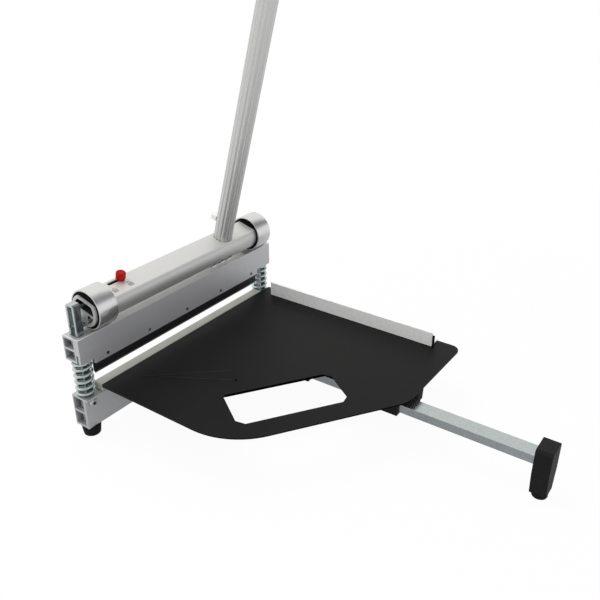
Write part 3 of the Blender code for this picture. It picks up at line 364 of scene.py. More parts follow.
finishes = {
    # the beam's and the shaft's tops get painted light, and their cells painted shade
    "beam": drawnAluminium("satinBeamAluminium", (0.615, 0.62, 0.635), metallic=0.76, cells=beamCells,
                           reach=28 * mm, matt=153.3 * mm, plain=beamSeats),
    "shaft": drawnAluminium("satinShaftAluminium", (0.66, 0.66, 0.65), spinCentre, leverLean, cells=shaftCells,
                            matt=15.45 * mm, topLightShare=0.28),
    "tube": drawnAluminium("satinTubeAluminium", (0.6, 0.6, 0.595), spinCentre, leverLean, along=2, roughness=0.38,
                           metallic=0.6, grainDepth=0.012),
    "ring": turnedAluminium("turnedRingAluminium", (0.72, 0.72, 0.725), spinCentre),
    "zinc": zincPlate("brightZincPlate", (0.50, 0.55, 0.56)),
    # bolt heads: zinc lightened nearly to white, a painted highlight
    "bright": zincPlate("brightHeadZinc", (0.88, 0.90, 0.90), roughness=0.32, metallic=0.6),
    "post": zincPlate("brightZincPost", (0.55, 0.60, 0.60), flake=300.0, roughness=0.22, paintedShadeBoxes=postShades),
    "wire": zincPlate("springZincWire", (0.60, 0.67, 0.67), flake=520.0, roughness=0.2),
    "socket": zincPlate("socketHeadZinc", (0.62, 0.66, 0.66), roughness=0.2, paintedShadeBoxes=boltSockets),
    # near-black: the blade screws' own dark, and the painted shadow rings under the shaft bolts
    "darkScrew": zincPlate("darkenedScrewZinc", (0.03, 0.03, 0.03), flake=700.0, roughness=0.5, metallic=0.6),
    "galvanised": zincPlate("galvanisedFence", (0.95, 0.95, 0.94), flake=240.0, roughness=0.5, metallic=0.03,
                            play=0.05),
    "blade": groundBlade("groundBladeSteel", 93.45 * mm, 2.2 * mm),
    "table": mouldedBlack("mouldedTableBlack", (0.0062, 0.0062, 0.0065), grain=1300.0, gloss=0.12, rim=75 * mm),
    "trim": mouldedBlack("mouldedTrimBlack", (0.007, 0.007, 0.0075), grain=1900.0, gloss=0.16),
    "rubber": mouldedBlack("softRubberBlack", (0.006, 0.006, 0.0065), grain=900.0, rub=0.5, gloss=0.14),
    "bush": mouldedBlack("softBushBlack", (0.0035, 0.0035, 0.0035), grain=1900.0, roughness=0.6, gloss=0.05),
    "knob": mouldedRed("mouldedKnobRed", spinCentre, leverLean, 27.1 * mm),
    "strip": sawnNylon("paleNylonStrip"),
    "rubbedLine": mouldedBlack("rubbedLineBlack", (0.018, 0.018, 0.0185), grain=1300.0, rub=0.3, gloss=0.2),
    "print": mouldedBlack("greyPrint", (0.3, 0.295, 0.285), grain=900.0, roughness=0.6, rub=0.2),
}

# the frame's own pieces that no new piece stands for
nodeFinish = {"blade": ["blade"], "zinc": ["handle_spigot", "lock_bolt"], "rubber": ["leg_foot", "stand_foot"]}


def giveFinish(mesh, finish):
    mesh.materials.clear()
    mesh.materials.append(finishes[finish])


for finish, nodes in nodeFinish.items():
    for node in nodes:
        giveFinish(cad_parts[node].data, finish)
print("finishes on the frame's own pieces")


def newHolder(name, mesh):
    holder = bpy.data.objects.new(name, mesh)
    bpy.context.scene.collection.objects.link(holder)
    return holder


def addPiece(name, mesh, finish, body):
    piece = newHolder(name, mesh)
    giveFinish(mesh, finish)
    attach(piece, body)
    return piece


def plainMesh(holder, name):
    # the evaluated object as a plain mesh, with the holder taken away
    graph = bpy.context.evaluated_depsgraph_get()
    mesh = bpy.data.meshes.new_from_object(holder.evaluated_get(graph))
    mesh.name = name
    bpy.data.objects.remove(holder)
    return mesh


def meshFrom(shape, name):
    mesh = bpy.data.meshes.new(name)
    shape.to_mesh(mesh)
    shape.free()
    return mesh


def smoothed(mesh, degrees=30):
    # smooth, with crisp lines where faces meet at more than this angle
    mesh.shade_smooth()
    mesh.set_sharp_from_angle(angle=math.radians(degrees))
    return mesh


def brokenEdges(name, mesh, edge, keep=30):
    holder = newHolder(name, mesh)
    corner = holder.modifiers.new("broken edges", "BEVEL")
    corner.width = edge
    corner.segments = 2
    corner.limit_method = "ANGLE"
    corner.angle_limit = math.radians(keep)
    corner.use_clamp_overlap = True
    even = holder.modifiers.new("even shading", "WEIGHTED_NORMAL")
    even.keep_sharp = True
    return plainMesh(holder, name)


def cleanCopy(node, name, edge):
    # the node's solid with its edges broken, as a cut or moulded piece has them
    shape = bmesh.new()
    shape.from_mesh(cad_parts[node].data)
    bmesh.ops.remove_doubles(shape, verts=shape.verts, dist=0.001 * mm)
    bmesh.ops.dissolve_limit(shape, angle_limit=math.radians(0.4), verts=shape.verts, edges=shape.edges)
    for face in shape.faces:
        face.smooth = True
    return brokenEdges(name, meshFrom(shape, name), edge)


# rows of finish, body, how much the edges are broken in millimetres, and each node with its piece's name
softEdges = [
    ("beam", "base", 0.35, {"base_beam": "lowerBeamBody"}),
    ("beam", "upper_beam_body", 0.35, {"upper_beam": "upperBeamBody"}),
    ("galvanised", "fence_body", 0.5, {"fence_bar": "fenceAngle"}),
    ("zinc", "base", 0.5, {"table_bracket_1": "nearTableBracket", "table_bracket_2": "farTableBracket"}),
    ("strip", "base", 0.4, {"anvil_strip": "anvilStrip"}),
    ("trim", "base", 0.6, {"arm_guide_1": "rearArmGuide", "arm_guide_2": "frontArmGuide",
                           "table_leg": "tableLegTaper"}),
    ("trim", "extension_body", 1.0, {"extension_stand": "boardStand"}),
    ("zinc", "extension_body", 0.3, {"extension_arm": "supportArm"}),
    ("trim", "fence_body", 0.5, {"fence_end_cap": "fenceEndCap"}),
    ("zinc", "base", 0.45, {"near_post_nut": "nearPostNut", "far_post_nut": "farPostNut",
                            "bracket_bolt_1": "nearBracketBolt", "bracket_bolt_2": "farBracketBolt",
                            "near_pivot_nut": "nearPivotNut"}),
    ("zinc", "base", 0.3, {"near_pivot_pin": "nearPivotPin", "far_pivot_pin": "farPivotPin"}),
    ("zinc", "base", 0.45, {"fence_pivot_bolt": "fencePivotBolt", "fence_pivot_nut": "fencePivotNut"}),
    ("bright", "lever_body", 0.45, {"handle_bolt": "handleBolt"}),
]

for finish, body, edge, names in softEdges:
    for node, name in names.items():
        piece = addPiece(name, cleanCopy(node, name, edge * mm), finish, body)
        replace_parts(piece, node)
print("edges broken on the cut and moulded pieces")


def finishShape(shape, name, place, smooth=30):
    # merged, facing outwards and set in the model's frame
    bmesh.ops.remove_doubles(shape, verts=shape.verts, dist=0.0005)  # still in millimetres
    bmesh.ops.recalc_face_normals(shape, faces=shape.faces)
    shape.transform(place)
    return smoothed(meshFrom(shape, name), smooth)


def addShape(name, shape, place, finish, body, smooth=30):
    return addPiece(name, finishShape(shape, name, place, smooth), finish, body)


def turned(profile, steps=128, closed=False, ripple=(0, 0, 0, 0)):
    # a lathe shape round X: profile points are (along, radius), and a radius of 0 closes it on the axis;
    # ripple is the count and depth of the grooves, and the two places along the axis between which they run
    shape = bmesh.new()
    grooves, depth, low, high = ripple
    rows = []
    for along, radius in profile:
        row = []
        for n in range(steps if radius else 1):
            angle = 2 * math.pi * n / steps
            reach = radius
            if low <= along <= high:
                reach -= depth * (0.5 - 0.5 * math.cos(angle * grooves))
            row.append(shape.verts.new((along, reach * math.cos(angle), reach * math.sin(angle))))
        rows.append(row)
    pairs = list(zip(rows, rows[1:]))
    if closed:
        pairs.append((rows[-1], rows[0]))
    for first, second in pairs:
        for n in range(steps):
            corners = [first[n % len(first)], first[(n + 1) % steps % len(first)],
                       second[(n + 1) % steps % len(second)], second[n % len(second)]]
            corners = list(dict.fromkeys(corners))
            if len(corners) > 2:
                shape.faces.new(corners)
    return shape


def rod(start, end, radius, steps=32):
    return turned([(start, 0), (start, radius), (end, radius), (end, 0)], steps)


def moved(shape, place):  # the place is a matrix
    shape.transform(place)
    return shape


def standUp(shape, place=(0, 0, 0)):
    # what was drawn along X now rises from the place
    return moved(shape, Matrix.Translation(place) @ Matrix.Rotation(-math.pi / 2, 4, "Y"))


def bridge(shape, rows):
    # faces between each closed row of points and the next
    for first, second in zip(rows, rows[1:]):
        for n in range(len(first)):
            shape.faces.new((first[n - 1], first[n], second[n], second[n - 1]))


def drawOut(shape, faces, step):
    drawn = bmesh.ops.extrude_face_region(shape, geom=faces)
    points = [item for item in drawn["geom"] if isinstance(item, bmesh.types.BMVert)]
    bmesh.ops.translate(shape, vec=step, verts=points)
    return shape


def stripCorners(start, end, wide):
    # the corners of a straight strip between two places
    start, end = Vector(start), Vector(end)
    run = (end - start).normalized() * wide / 2
    side = Vector((-run.y, run.x))
    return [start - side, end - side, end + side, start + side]


def arcPoints(radius, start, end, steps, centre=(0, 0)):
    turns = [start + (end - start) * n / steps for n in range(steps + 1)]
    return [(centre[0] + radius * math.cos(turn), centre[1] + radius * math.sin(turn)) for turn in turns]


def drawnSection(loops, start, end):
    # an outline in Y and Z, with its cells as further loops, drawn along X
    shape = bmesh.new()
    lines = []
    for loop in loops:
        points = [shape.verts.new((start, across, up)) for across, up in loop]
        lines += [shape.edges.new((points[n - 1], points[n])) for n in range(len(points))]
    filled = bmesh.ops.triangle_fill(shape, edges=lines, use_beauty=True)
    faces = [item for item in filled["geom"] if isinstance(item, bmesh.types.BMFace)]
    return drawOut(shape, faces, (end - start, 0, 0))


def cutAway(name, mesh, cutters, place, operation="DIFFERENCE"):
    # the mesh with the cutters' shapes, set at the place, taken out of it or joined to it
    holder = newHolder(name, mesh)
    tools = []
    for cutter in cutters:
        tool = newHolder("cutter", finishShape(cutter, "cutter", place))
        cut = holder.modifiers.new("cut", "BOOLEAN")
        cut.operation = operation
        cut.solver = "EXACT"
        cut.object = tool
        tools.append(tool)
    finished = plainMesh(holder, name)
    for tool in tools:
        bpy.data.objects.remove(tool)
    return smoothed(finished)


posts = {
    "depth": 11, "low": 19.1, "top": 197.2, "corner": 2.5, "edge": 0.35,
    "left": 7.5, "right": 22.5,
    "rim": 3.1, "web": 4, "pocket": (121.2, 194.2),
    "pivotBore": (16.909, 165.3, 3.75),  # across, height and radius
    "boltBore": (53.4, 3.25),
    "lockBore": (15.875, 187.74, 3.0),
    "places": {"nearPostBar": ("near_post", nearX, -1), "farPostBar": ("far_post", farX, 1)},  # outward along X
}


def blockBetween(low, high):
    (start, left, bottom), (end, right, top) = low, high
    return drawnSection([[(left, bottom), (right, bottom), (right, top), (left, top)]], start, end)


def makePosts():
    # a bar with a pocket milled in the outer face, bored for the pivot pin and the cross bolt, and the near
    # one for the lock as well
    depth, low, top, corner, left, right, rim = (
        posts[key] for key in ("depth", "low", "top", "corner", "left", "right", "rim"))
    outline = [(left, low), (right, low), (right, top - corner), (right - corner, top), (left + corner, top),
               (left, top - corner)]
    for name, (node, x, outward) in posts["places"].items():
        start, end = x - depth / 2, x + depth / 2
        bar = finishShape(drawnSection([outline], start, end), name, benchPlace)
        floor, mouth = x - outward * (depth / 2 - posts["web"]), x + outward * depth
        cutters = [blockBetween((min(floor, mouth), left + rim, posts["pocket"][0]),
                                (max(floor, mouth), right - rim, posts["pocket"][1]))]
        for across, up, radius in [posts["pivotBore"]] + ([posts["lockBore"]] if outward < 0 else []):
            cutters.append(moved(rod(start - 1, end + 1, radius), Matrix.Translation((0, across, up))))
        up, radius = posts["boltBore"]
        turn = Matrix.Rotation(math.pi / 2, 4, "Z")
        cutters.append(moved(rod(left - 1, right + 1, radius), Matrix.Translation((x, 0, up)) @ turn))
        mesh = brokenEdges(name, cutAway(name, bar, cutters, benchPlace), posts["edge"] * mm, keep=40)
        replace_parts(addPiece(name, mesh, "post", "base"), node)


makePosts()
print("posts milled")


table = {
    "corners": [(25, -0.3, 3), (25, -214.9, 100), (225.3, -350, 42), (389, -350, 14), (389, -0.3, 3)],
    "top": 75, "rim": 72.6, "under": 70, "inset": 7, "edge": 1.5,
    "slant": math.radians(34), "windowPlace": (100, -146.07),
    "window": [(0, 0, 3), (150, 0, 10), (150, -69, 10), (0, -69, 10)],
    "holes": [(136.7, -137.87, 2.2), (379, -30, 3.25)],
    "ribLow": 63, "ribHigh": 70.6, "ribWide": 3,
    "ribs": [((39.5, -46), (374.5, -46)), ((41, -172), (41, -46)), ((373, -335.5), (373, -46)),
             ((271, -334), (373, -334)), ((271, -335.5), (271, -46))],
    "slantRibs": [((-40, 12), (147.2, 12)), ((18, -84), (203.8, -84))],
}


def filletLoop(corners, step):
    # points of an outline with rounded corners, each with its outward direction and the corner's radius
    loop = []
    for n, (x, y, radius) in enumerate(corners):
        here = Vector((x, y))
        before = (Vector(corners[n - 1][:2]) - here).normalized()
        after = (Vector(corners[(n + 1) % len(corners)][:2]) - here).normalized()
        half = before.angle(after) / 2
        middle = here + (before + after).normalized() * radius / math.sin(half)
        first = here + before * radius / math.tan(half) - middle
        last = here + after * radius / math.tan(half) - middle
        begin = math.atan2(first.y, first.x)
        turn = (math.atan2(last.y, last.x) - begin + math.pi) % (2 * math.pi) - math.pi
        count = max(1, round(abs(turn) / step))
        for m in range(count + 1):
            out = Vector((math.cos(begin + turn * m / count), math.sin(begin + turn * m / count)))
            loop.append((middle + out * radius, out, radius))
    return loop


def onSlant(x, y):
    turn = Matrix.Rotation(-table["slant"], 2)
    return Vector(table["windowPlace"]) + turn @ Vector((x, y))


def tableRings():
    # for each outline of the plate, its line at the top, at the foot of the rim and on the underside
    top, rim, under, inset = table["top"], table["rim"], table["under"], table["inset"]
    rings = []
    outline = filletLoop(table["corners"], math.radians(3))
    rings.append([[(*spot, top) for spot, out, radius in outline], [(*spot, rim) for spot, out, radius in outline],
                  [(*(spot - out * min(inset, radius * 0.8)), under) for spot, out, radius in outline]])
    window = filletLoop(table["window"], math.pi)
    rings.append([[(*onSlant(*(spot + out * wide)), up) for spot, out, radius in window]
                  for wide, up in ((0, top), (0, rim), (inset, under))])
    for x, y, radius in table["holes"]:
        circle = arcPoints(radius, 0, 2 * math.pi, 24, (x, y))[:-1]
        rings.append([[(*spot, up) for spot in circle] for up in (top, under)])
    return rings


def makeTable():
    shape = bmesh.new()
    faces = {"top": [], "under": []}
    for ring in tableRings():
        rows = [[shape.verts.new(spot) for spot in line] for line in ring]
        bridge(shape, rows)
        for side, row in (("top", rows[0]), ("under", rows[-1])):
            faces[side] += [shape.edges.get((row[n - 1], row[n])) for n in range(len(row))]
    for lines in faces.values():
        bmesh.ops.triangle_fill(shape, edges=lines, use_beauty=True)
    plate = finishShape(shape, "tablePlate", benchPlace)
    ribs = []
    for start, end in table["ribs"] + [[onSlant(*spot) for spot in line] for line in table["slantRibs"]]:
        rib = bmesh.new()
        corners = stripCorners(start, end, table["ribWide"])
        low = rib.faces.new([rib.verts.new((*spot, table["ribLow"])) for spot in corners])
        ribs.append(drawOut(rib, [low], (0, 0, table["ribHigh"] - table["ribLow"])))
    joined = cutAway("tablePlate", plate, ribs, benchPlace, "UNION")
    return brokenEdges("tablePlate", joined, table["edge"] * mm, keep=40)


piece = addPiece("tablePlate", makeTable(), "table", "base")
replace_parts(piece, "table")
print("table moulded")


leverShaft = {
    "start": 25, "end": 377.5,
    "radius": 22, "flat": 15.6, "edge": 0.05,
    "wall": 2.3, "rim": 4.2, "rib": 2.8, "boss": 7.5,
    "pinBore": (3.75, -16.5, 22.3),  # radius, height and depth
    "handleHole": (289.5, 14.3, 1.4, 18),  # along, radius, floor and length
    "lockSlot": (71, 102, 9.5, 2.6, 11.5, 17),  # from and to, across, half width, floor and top
}


def shaftSection():
    # the D-shaped outline, the cell under the flat, and one cell on each side of the boss for the pins
    radius, flat, edge, boss = (leverShaft[key] for key in ("radius", "flat", "edge", "boss"))
    inner = radius - leverShaft["rim"]
    top = flat - leverShaft["wall"]
    rib = leverShaft["rib"] / 2
    corner = (math.sqrt((radius - edge) ** 2 - (flat - edge) ** 2), flat - edge)
    turn = math.atan2(corner[1], corner[0])
    outline = arcPoints(radius, math.pi - turn, 2 * math.pi + turn, 110)
    outline += arcPoints(edge, turn, math.pi / 2, 4, corner)[1:]
    outline += arcPoints(edge, math.pi / 2, math.pi - turn, 4, (-corner[0], corner[1]))[:-1]
    low, high = math.asin(rib / inner), math.asin(top / inner)
    upper = arcPoints(inner, low, high, 8) + arcPoints(inner, math.pi - high, math.pi - low, 8)
    right = arcPoints(inner, math.asin(boss / inner) - math.pi / 2, math.asin(-rib / inner), 14) + [(boss, -rib)]
    return [outline, upper, right, [(-across, up) for across, up in reversed(right)]]


def makeLeverShaft():
    start, end = leverShaft["start"], leverShaft["end"]
    bar = finishShape(drawnSection(shaftSection(), start, end), "leverShaftBar", leverPlace)
    bore, low, deep = leverShaft["pinBore"]
    cutters = []
    for first, last in ((start - 1, start + deep), (end - deep, end + 1)):
        cutters.append(moved(rod(first, last, bore), Matrix.Translation((0, 0, low))))
    along, radius, floor, length = leverShaft["handleHole"]
    cutters.append(standUp(rod(0, length, radius, 64), (along, 0, floor)))
    low, high, across, half, floor, top = leverShaft["lockSlot"]
    outline = arcPoints(half, math.pi / 2, math.pi * 1.5, 12, (low + half, across))
    outline += arcPoints(half, -math.pi / 2, math.pi / 2, 12, (high - half, across))
    cutters.append(standUp(drawnSection([[(y, -x) for x, y in outline]], floor, top)))
    return cutAway("leverShaftBar", bar, cutters, leverPlace)


endRings = {
    "starts": {"near": 28, "far": 347.5},
    "length": 30,
    "outer": 27.5, "inner": 25.6, "edge": 0.8,
    "bushOuter": 25.5, "bushInner": 22.15, "bushInset": 0.2, "bushEdge": 0.4,
    "fillingTop": 21.95, "fillingInset": 0.4, "fillingGap": 0.05,
    "steps": 144,
}


def ringProfile(start, end, outer, inner, edge):
    step = edge * 0.3
    return [(start + step, inner), (start, inner + step), (start, outer - edge), (start + step, outer - step),
            (start + edge, outer), (end - edge, outer), (end - step, outer - step), (end, outer - edge),
            (end, inner + step), (end - step, inner)]


def makeEndRings():
    inset, steps = endRings["bushInset"], endRings["steps"]
    for side, start in endRings["starts"].items():
        end = start + endRings["length"]
        hoop = turned(ringProfile(start, end, endRings["outer"], endRings["inner"], endRings["edge"]), steps, True)
        piece = addShape(side + "RingTurned", hoop, spinPlace, "ring", side + "_ring_body")
        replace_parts(piece, side + "_ring")
        sleeve = turned(ringProfile(start + inset, end - inset, endRings["bushOuter"], endRings["bushInner"],
                                    endRings["bushEdge"]), steps, True)
        piece = addShape(side + "BushSleeve", sleeve, spinPlace, "bush", side + "_ring_body")
        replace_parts(piece, side + "_bush")


def fillBushes():
    # each bush's black filling between the shaft's flat and the ring, which turns with the shaft
    radius, inset = endRings["fillingTop"], endRings["fillingInset"]
    turn = math.asin((leverShaft["flat"] + endRings["fillingGap"]) / radius)
    for side, start in endRings["starts"].items():
        filling = drawnSection([arcPoints(radius, turn, math.pi - turn, 24)], start + inset,
                               start + endRings["length"] - inset)
        piece = addShape(side + "BushFilling", filling, leverPlace, "bush", "lever_body")


piece = addPiece("leverShaftBar", makeLeverShaft(), "shaft", "lever_body")
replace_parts(piece, "lever_shaft")
makeEndRings()
fillBushes()
print("shaft drawn, rings and bushes turned")


leverHandle = {
    "x": 289.5,
    "foot": 1.7, "top": 557.1,
    "radius": 14, "bore": 10.6,
    "flutes": 13, "fluteDepth": 0.8, "fluteTurn": -6,
    "gripLength": 125, "gripTop": 560, "gripBore": 14.3, "gripSkin": 16.9, "gripLip": 1.0, "gripCap": 2.6,
    "gripRings": 9, "gripGroove": 0.9, "gripPlain": (8, 14),
}


def handleSection():
    # each flute is a land and a shallow groove with soft shoulders, as shares of its pitch
    radius, depth, flutes = leverHandle["radius"], leverHandle["fluteDepth"], leverHandle["flutes"]
    shares = [(-0.32, 0), (-0.18, 0), (-0.04, 0), (0.09, 0), (0.15, 0.12), (0.2, 0.5), (0.25, 0.88), (0.31, 1),
              (0.4, 1), (0.49, 1), (0.55, 0.88), (0.6, 0.5), (0.65, 0.12)]
    points = []
    for flute in range(flutes):
        for share, down in shares:
            turn = (flute + share) * 2 * math.pi / flutes + math.radians(leverHandle["fluteTurn"])
            reach = radius - depth * down
            points.append((reach * math.cos(turn), reach * math.sin(turn)))
    return points


def gripProfile():
    # a lipped sleeve with rounded grooves and a closed cap
    top, skin, hole, lip = (leverHandle[key] for key in ("gripTop", "gripSkin", "gripBore", "gripLip"))
    low = top - leverHandle["gripLength"]
    profile = [(low, hole), (low, skin + lip - 0.5), (low + 0.5, skin + lip), (low + 5, skin + lip),
               (low + 6.5, skin)]
    before, after = leverHandle["gripPlain"]
    pitch = (leverHandle["gripLength"] - before - after) / leverHandle["gripRings"]
    for ring in range(leverHandle["gripRings"]):
        height = low + before + ring * pitch
        for share, down in ((0, 0), (0.25, 0.15), (0.5, 0.6), (0.68, 0.95), (0.76, 0.85), (0.84, 0.2)):
            profile.append((height + share * pitch, skin - leverHandle["gripGroove"] * down))
    floor = top - leverHandle["gripCap"]
    return profile + [(top - after, skin), (top - 8, skin + lip / 2), (top - 4, skin + lip / 2),
                      (top - 1.6, skin - 0.6), (top - 0.4, skin - 2.4), (top, hole - 1), (top, 0), (floor, 0),
                      (floor, hole)]


def makeHandle():
    place = (leverHandle["x"], 0, 0)
    bore = arcPoints(leverHandle["bore"], 0, 2 * math.pi, 48)[:-1]
    tube = standUp(drawnSection([handleSection(), bore], leverHandle["foot"], leverHandle["top"]), place)
    piece = addShape("handleTubeFluted", tube, leverPlace, "tube", "lever_body", smooth=50)
    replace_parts(piece, "handle_tube")
    grip = standUp(turned(gripProfile(), 96, True), place)
    piece = addShape("handleGripSleeve", grip, leverPlace, "rubber", "lever_body", smooth=40)
    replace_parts(piece, "handle_grip")


makeHandle()
print("handle and grip made")


lockKnob = {
    "x": 93, "across": 9.5,
    "low": 15.9, "high": 27.1,
    "footRadius": 6.3, "topRadius": 6.8,
    "grooves": 24, "grooveDepth": 0.22,
}


def makeKnob():
    low, high = lockKnob["low"], lockKnob["high"]
    foot, crown = lockKnob["footRadius"], lockKnob["topRadius"]
    profile = [(low, 0), (low, foot - 0.5), (low + 0.4, foot), (low + 3, foot + 0.15), (high - 4, crown - 0.1),
               (high - 2.4, crown), (high - 1.2, crown - 0.25), (high - 0.45, crown - 0.9), (high - 0.1, crown - 1.8),
               (high, crown - 3), (high - 0.25, 1.8), (high - 0.3, 0)]
    ripple = (lockKnob["grooves"], lockKnob["grooveDepth"], low + 0.3, high - 2)
    knob = standUp(turned(profile, 192, ripple=ripple), (lockKnob["x"], lockKnob["across"], 0))
    piece = addShape("lockKnobCap", knob, leverPlace, "knob", "lock_body", smooth=50)
    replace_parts(piece, "lock_knob")


makeKnob()


rubberFeet = {
    "topRadius": 13.0, "footRadius": 11.6, "height": 15.5, "edge": 3.0,
    "places": {"nearFootPad": ("near_foot", nearX), "farFootPad": ("far_foot", farX)},
}


def makeFeet():
    top, low, height, edge = (rubberFeet[key] for key in ("topRadius", "footRadius", "height", "edge"))
    profile = [(0, 0), (0, low - edge), (edge * 0.12, low - edge * 0.5), (edge * 0.45, low - edge * 0.13),
               (edge, low), (height - 1.2, top), (height - 0.4, top - 0.3), (height, top - 1), (height, 0)]
    for name, (node, x) in rubberFeet["places"].items():
        piece = addShape(name, standUp(turned(profile, 72), (x, postY, 0)), benchPlace, "rubber", "base", smooth=50)
        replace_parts(piece, node)


makeFeet()
print("knob and feet turned")


spring = {
    "low": 63.7 * mm, "high": 117.1 * mm,
    "wire": {"turns": 6.0, "deadTurns": 0.75, "deadPitch": 4.6 * mm, "wireRadius": 1.98 * mm,
             "coilRadius": 11.2 * mm, "points": 240, "sides": 14},
    "keep": 0.662,
    "posts": {"nearSpring": ("near_spring", nearX), "farSpring": ("far_spring", farX)},
}


def newShapeTree(name, inputs):
    # an empty Geometry Nodes tree with named inputs, and the inputs' sockets
    group = bpy.data.node_groups.new(name, "GeometryNodeTree")
    for way in ("INPUT", "OUTPUT"):
        group.interface.new_socket("Geometry", in_out=way, socket_type="NodeSocketGeometry")
    kinds = {int: "Int", float: "Float", Vector: "Vector", bpy.types.Object: "Object"}
    for label, value in inputs.items():
        group.interface.new_socket(label, in_out="INPUT", socket_type="NodeSocket" + kinds[type(value)])
    tree = Tree(group)
    return tree, {label: tree.node("NodeGroupInput", None, None, label) for label in inputs}


def shapeFromTree(name, tree, result, inputs, finish):
    # ends the tree, runs it on an empty mesh and keeps what it makes
    whole = tree.node("GeometryNodeRealizeInstances", None, {0: result})
    smooth = tree.node("GeometryNodeSetShadeSmooth", None, {0: whole})
    painted = tree.node("GeometryNodeSetMaterial", None, {"Geometry": smooth, "Material": finishes[finish]})
    tree.node("NodeGroupOutput", None, {0: painted})
    holder = newHolder(name, bpy.data.meshes.new(name))
    maker = holder.modifiers.new(name, "NODES")
    maker.node_group = tree.nodeTree
    for entry in tree.nodeTree.interface.items_tree:
        if entry.in_out == "INPUT" and entry.name in inputs:
            maker[entry.identifier] = inputs[entry.name]
    return plainMesh(holder, name)


def coilSpring(name, centre):
    inputs = {**spring["wire"], "centre": centre}
    inputs["low"] = spring["low"] + inputs["wireRadius"]
    inputs["high"] = spring["high"] - inputs["wireRadius"]
    tree, use = newShapeTree("windSpring", inputs)
    line = tree.node("GeometryNodeCurvePrimitiveLine")
    path = tree.node("GeometryNodeResampleCurve", None, {"Curve": line, "Count": use["points"]})
    turn = tree.node("GeometryNodeSplineParameter") * use["turns"]
    angle = turn * (2 * math.pi)
    # the end turns lie close, and the live turns between them share the rest of the height
    lower = turn.least(use["deadTurns"])
    upper = (turn - use["turns"] + use["deadTurns"]).most(0)
    live = turn - lower - upper
    deadRise = use["deadTurns"] * use["deadPitch"]
    livePitch = (use["high"] - use["low"] - deadRise * 2) / (use["turns"] - use["deadTurns"] * 2)
    height = use["low"] + (lower + upper) * use["deadPitch"] + live * livePitch
    x, y = (angle.sum(wave, angle) * use["coilRadius"] for wave in ("COSINE", "SINE"))
    place = tree.node("ShaderNodeVectorMath", {"operation": "ADD"}, {0: tree.join(x, y, height), 1: use["centre"]})
    wound = tree.node("GeometryNodeSetPosition", None, {"Geometry": path, "Position": place})
    wire = tree.node("GeometryNodeCurvePrimitiveCircle", None,
                     {"Resolution": use["sides"], "Radius": use["wireRadius"]})
    body = tree.node("GeometryNodeCurveToMesh", None, {"Curve": wound, "Profile Curve": wire, "Fill Caps": True})
    return shapeFromTree(name, tree, body, inputs, "wire")


for name, (node, x) in spring["posts"].items():
    centre = atBench(x, postY, 0)
    piece = addPiece(name, coilSpring(name, centre), "wire", "base")
    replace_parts(piece, node)
    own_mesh(piece)
print("springs wound")


def repeatedRow(name, pattern, count, start, step, finish):
    # one pattern, repeated along a line
    holder = newHolder("pattern", pattern)
    inputs = {"pattern": holder, "count": count, "start": Vector(start), "step": Vector(step)}
    tree, use = newShapeTree("repeatPattern", inputs)
    points = tree.node("GeometryNodeMeshLine", None,
                       {"Count": use["count"], "Start Location": use["start"], "Offset": use["step"]})
    one = tree.node("GeometryNodeObjectInfo", None, {"Object": use["pattern"]}, "Geometry")
    placed = tree.node("GeometryNodeInstanceOnPoints", None, {"Points": points, "Instance": one})
    mesh = shapeFromTree(name, tree, placed, inputs, finish)
    bpy.data.objects.remove(holder)
    return mesh


def stacked(turns, rows):
    # a closed shape along Z: rows of (radius, height), with one pair for each turn
    shape = bmesh.new()
    rings = [[shape.verts.new((radius * math.cos(turn), radius * math.sin(turn), height))
              for turn, (radius, height) in zip(turns, row)] for row in rows]
    bridge(shape, rings)
    shape.faces.new(list(reversed(rings[0])))
    shape.faces.new(rings[-1])
    return shape


def hexagonReach(turn):
    # how far a hexagon reaches at a turn, for a flat at 1
    return 1 / math.cos(turn % (math.pi / 3) - math.pi / 6)


screws = {
    "count": 5, "firstX": 43.8, "pitch": 75.2, "seatY": 0.1, "height": 116.0,
    "headRadius": 2.3, "headHeight": 0.5, "recess": 1.5, "recessFloor": 0.1,
}

postBolts = {
    "nodes": ("near_post_bolt", "far_post_bolt"),
    "count": 2, "firstX": nearX, "pitch": farX - nearX, "seatY": 4.7, "height": 53.4,
    "headRadius": 6.4, "headHeight": 4, "recess": 3.1, "recessFloor": 1.2,
}


def screwHead(sizes, steps=24):
    # a button head with a hexagon recess, facing -Y; the crown's pairs are shares of its radius and height
    outer, tall, recess, floor = (sizes[key] * mm for key in ("headRadius", "headHeight", "recess", "recessFloor"))
    turns = [2 * math.pi * n / steps for n in range(steps)]
    crown = ((1, 0), (1, 0.35), (0.95, 0.7), (0.84, 0.91), (0.7, 1))
    rows = [[(outer * across, tall * up)] * steps for across, up in crown]
    flats = [recess * math.cos(math.pi / 6) * hexagonReach(turn) for turn in turns]
    rows += [[(flat, height) for flat in flats] for height in (tall, floor)]
    head = moved(stacked(turns, rows), Matrix.Rotation(math.pi / 2, 4, "X"))
    bmesh.ops.recalc_face_normals(head, faces=head.faces)
    return smoothed(meshFrom(head, "screwHead"), degrees=35)


def screwRow(name, sizes, finish):
    start = atBench(sizes["firstX"], sizes["seatY"], sizes["height"])
    return repeatedRow(name, screwHead(sizes), sizes["count"], start, (sizes["pitch"] * mm, 0, 0), finish)


piece = addPiece("bladeScrews", screwRow("bladeScrews", screws, "darkScrew"), "darkScrew", "upper_beam_body")
piece = addPiece("postBoltHeads", screwRow("postBoltHeads", postBolts, "socket"), "socket", "base")
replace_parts(piece, *postBolts["nodes"])
print("blade screws and post bolts set")


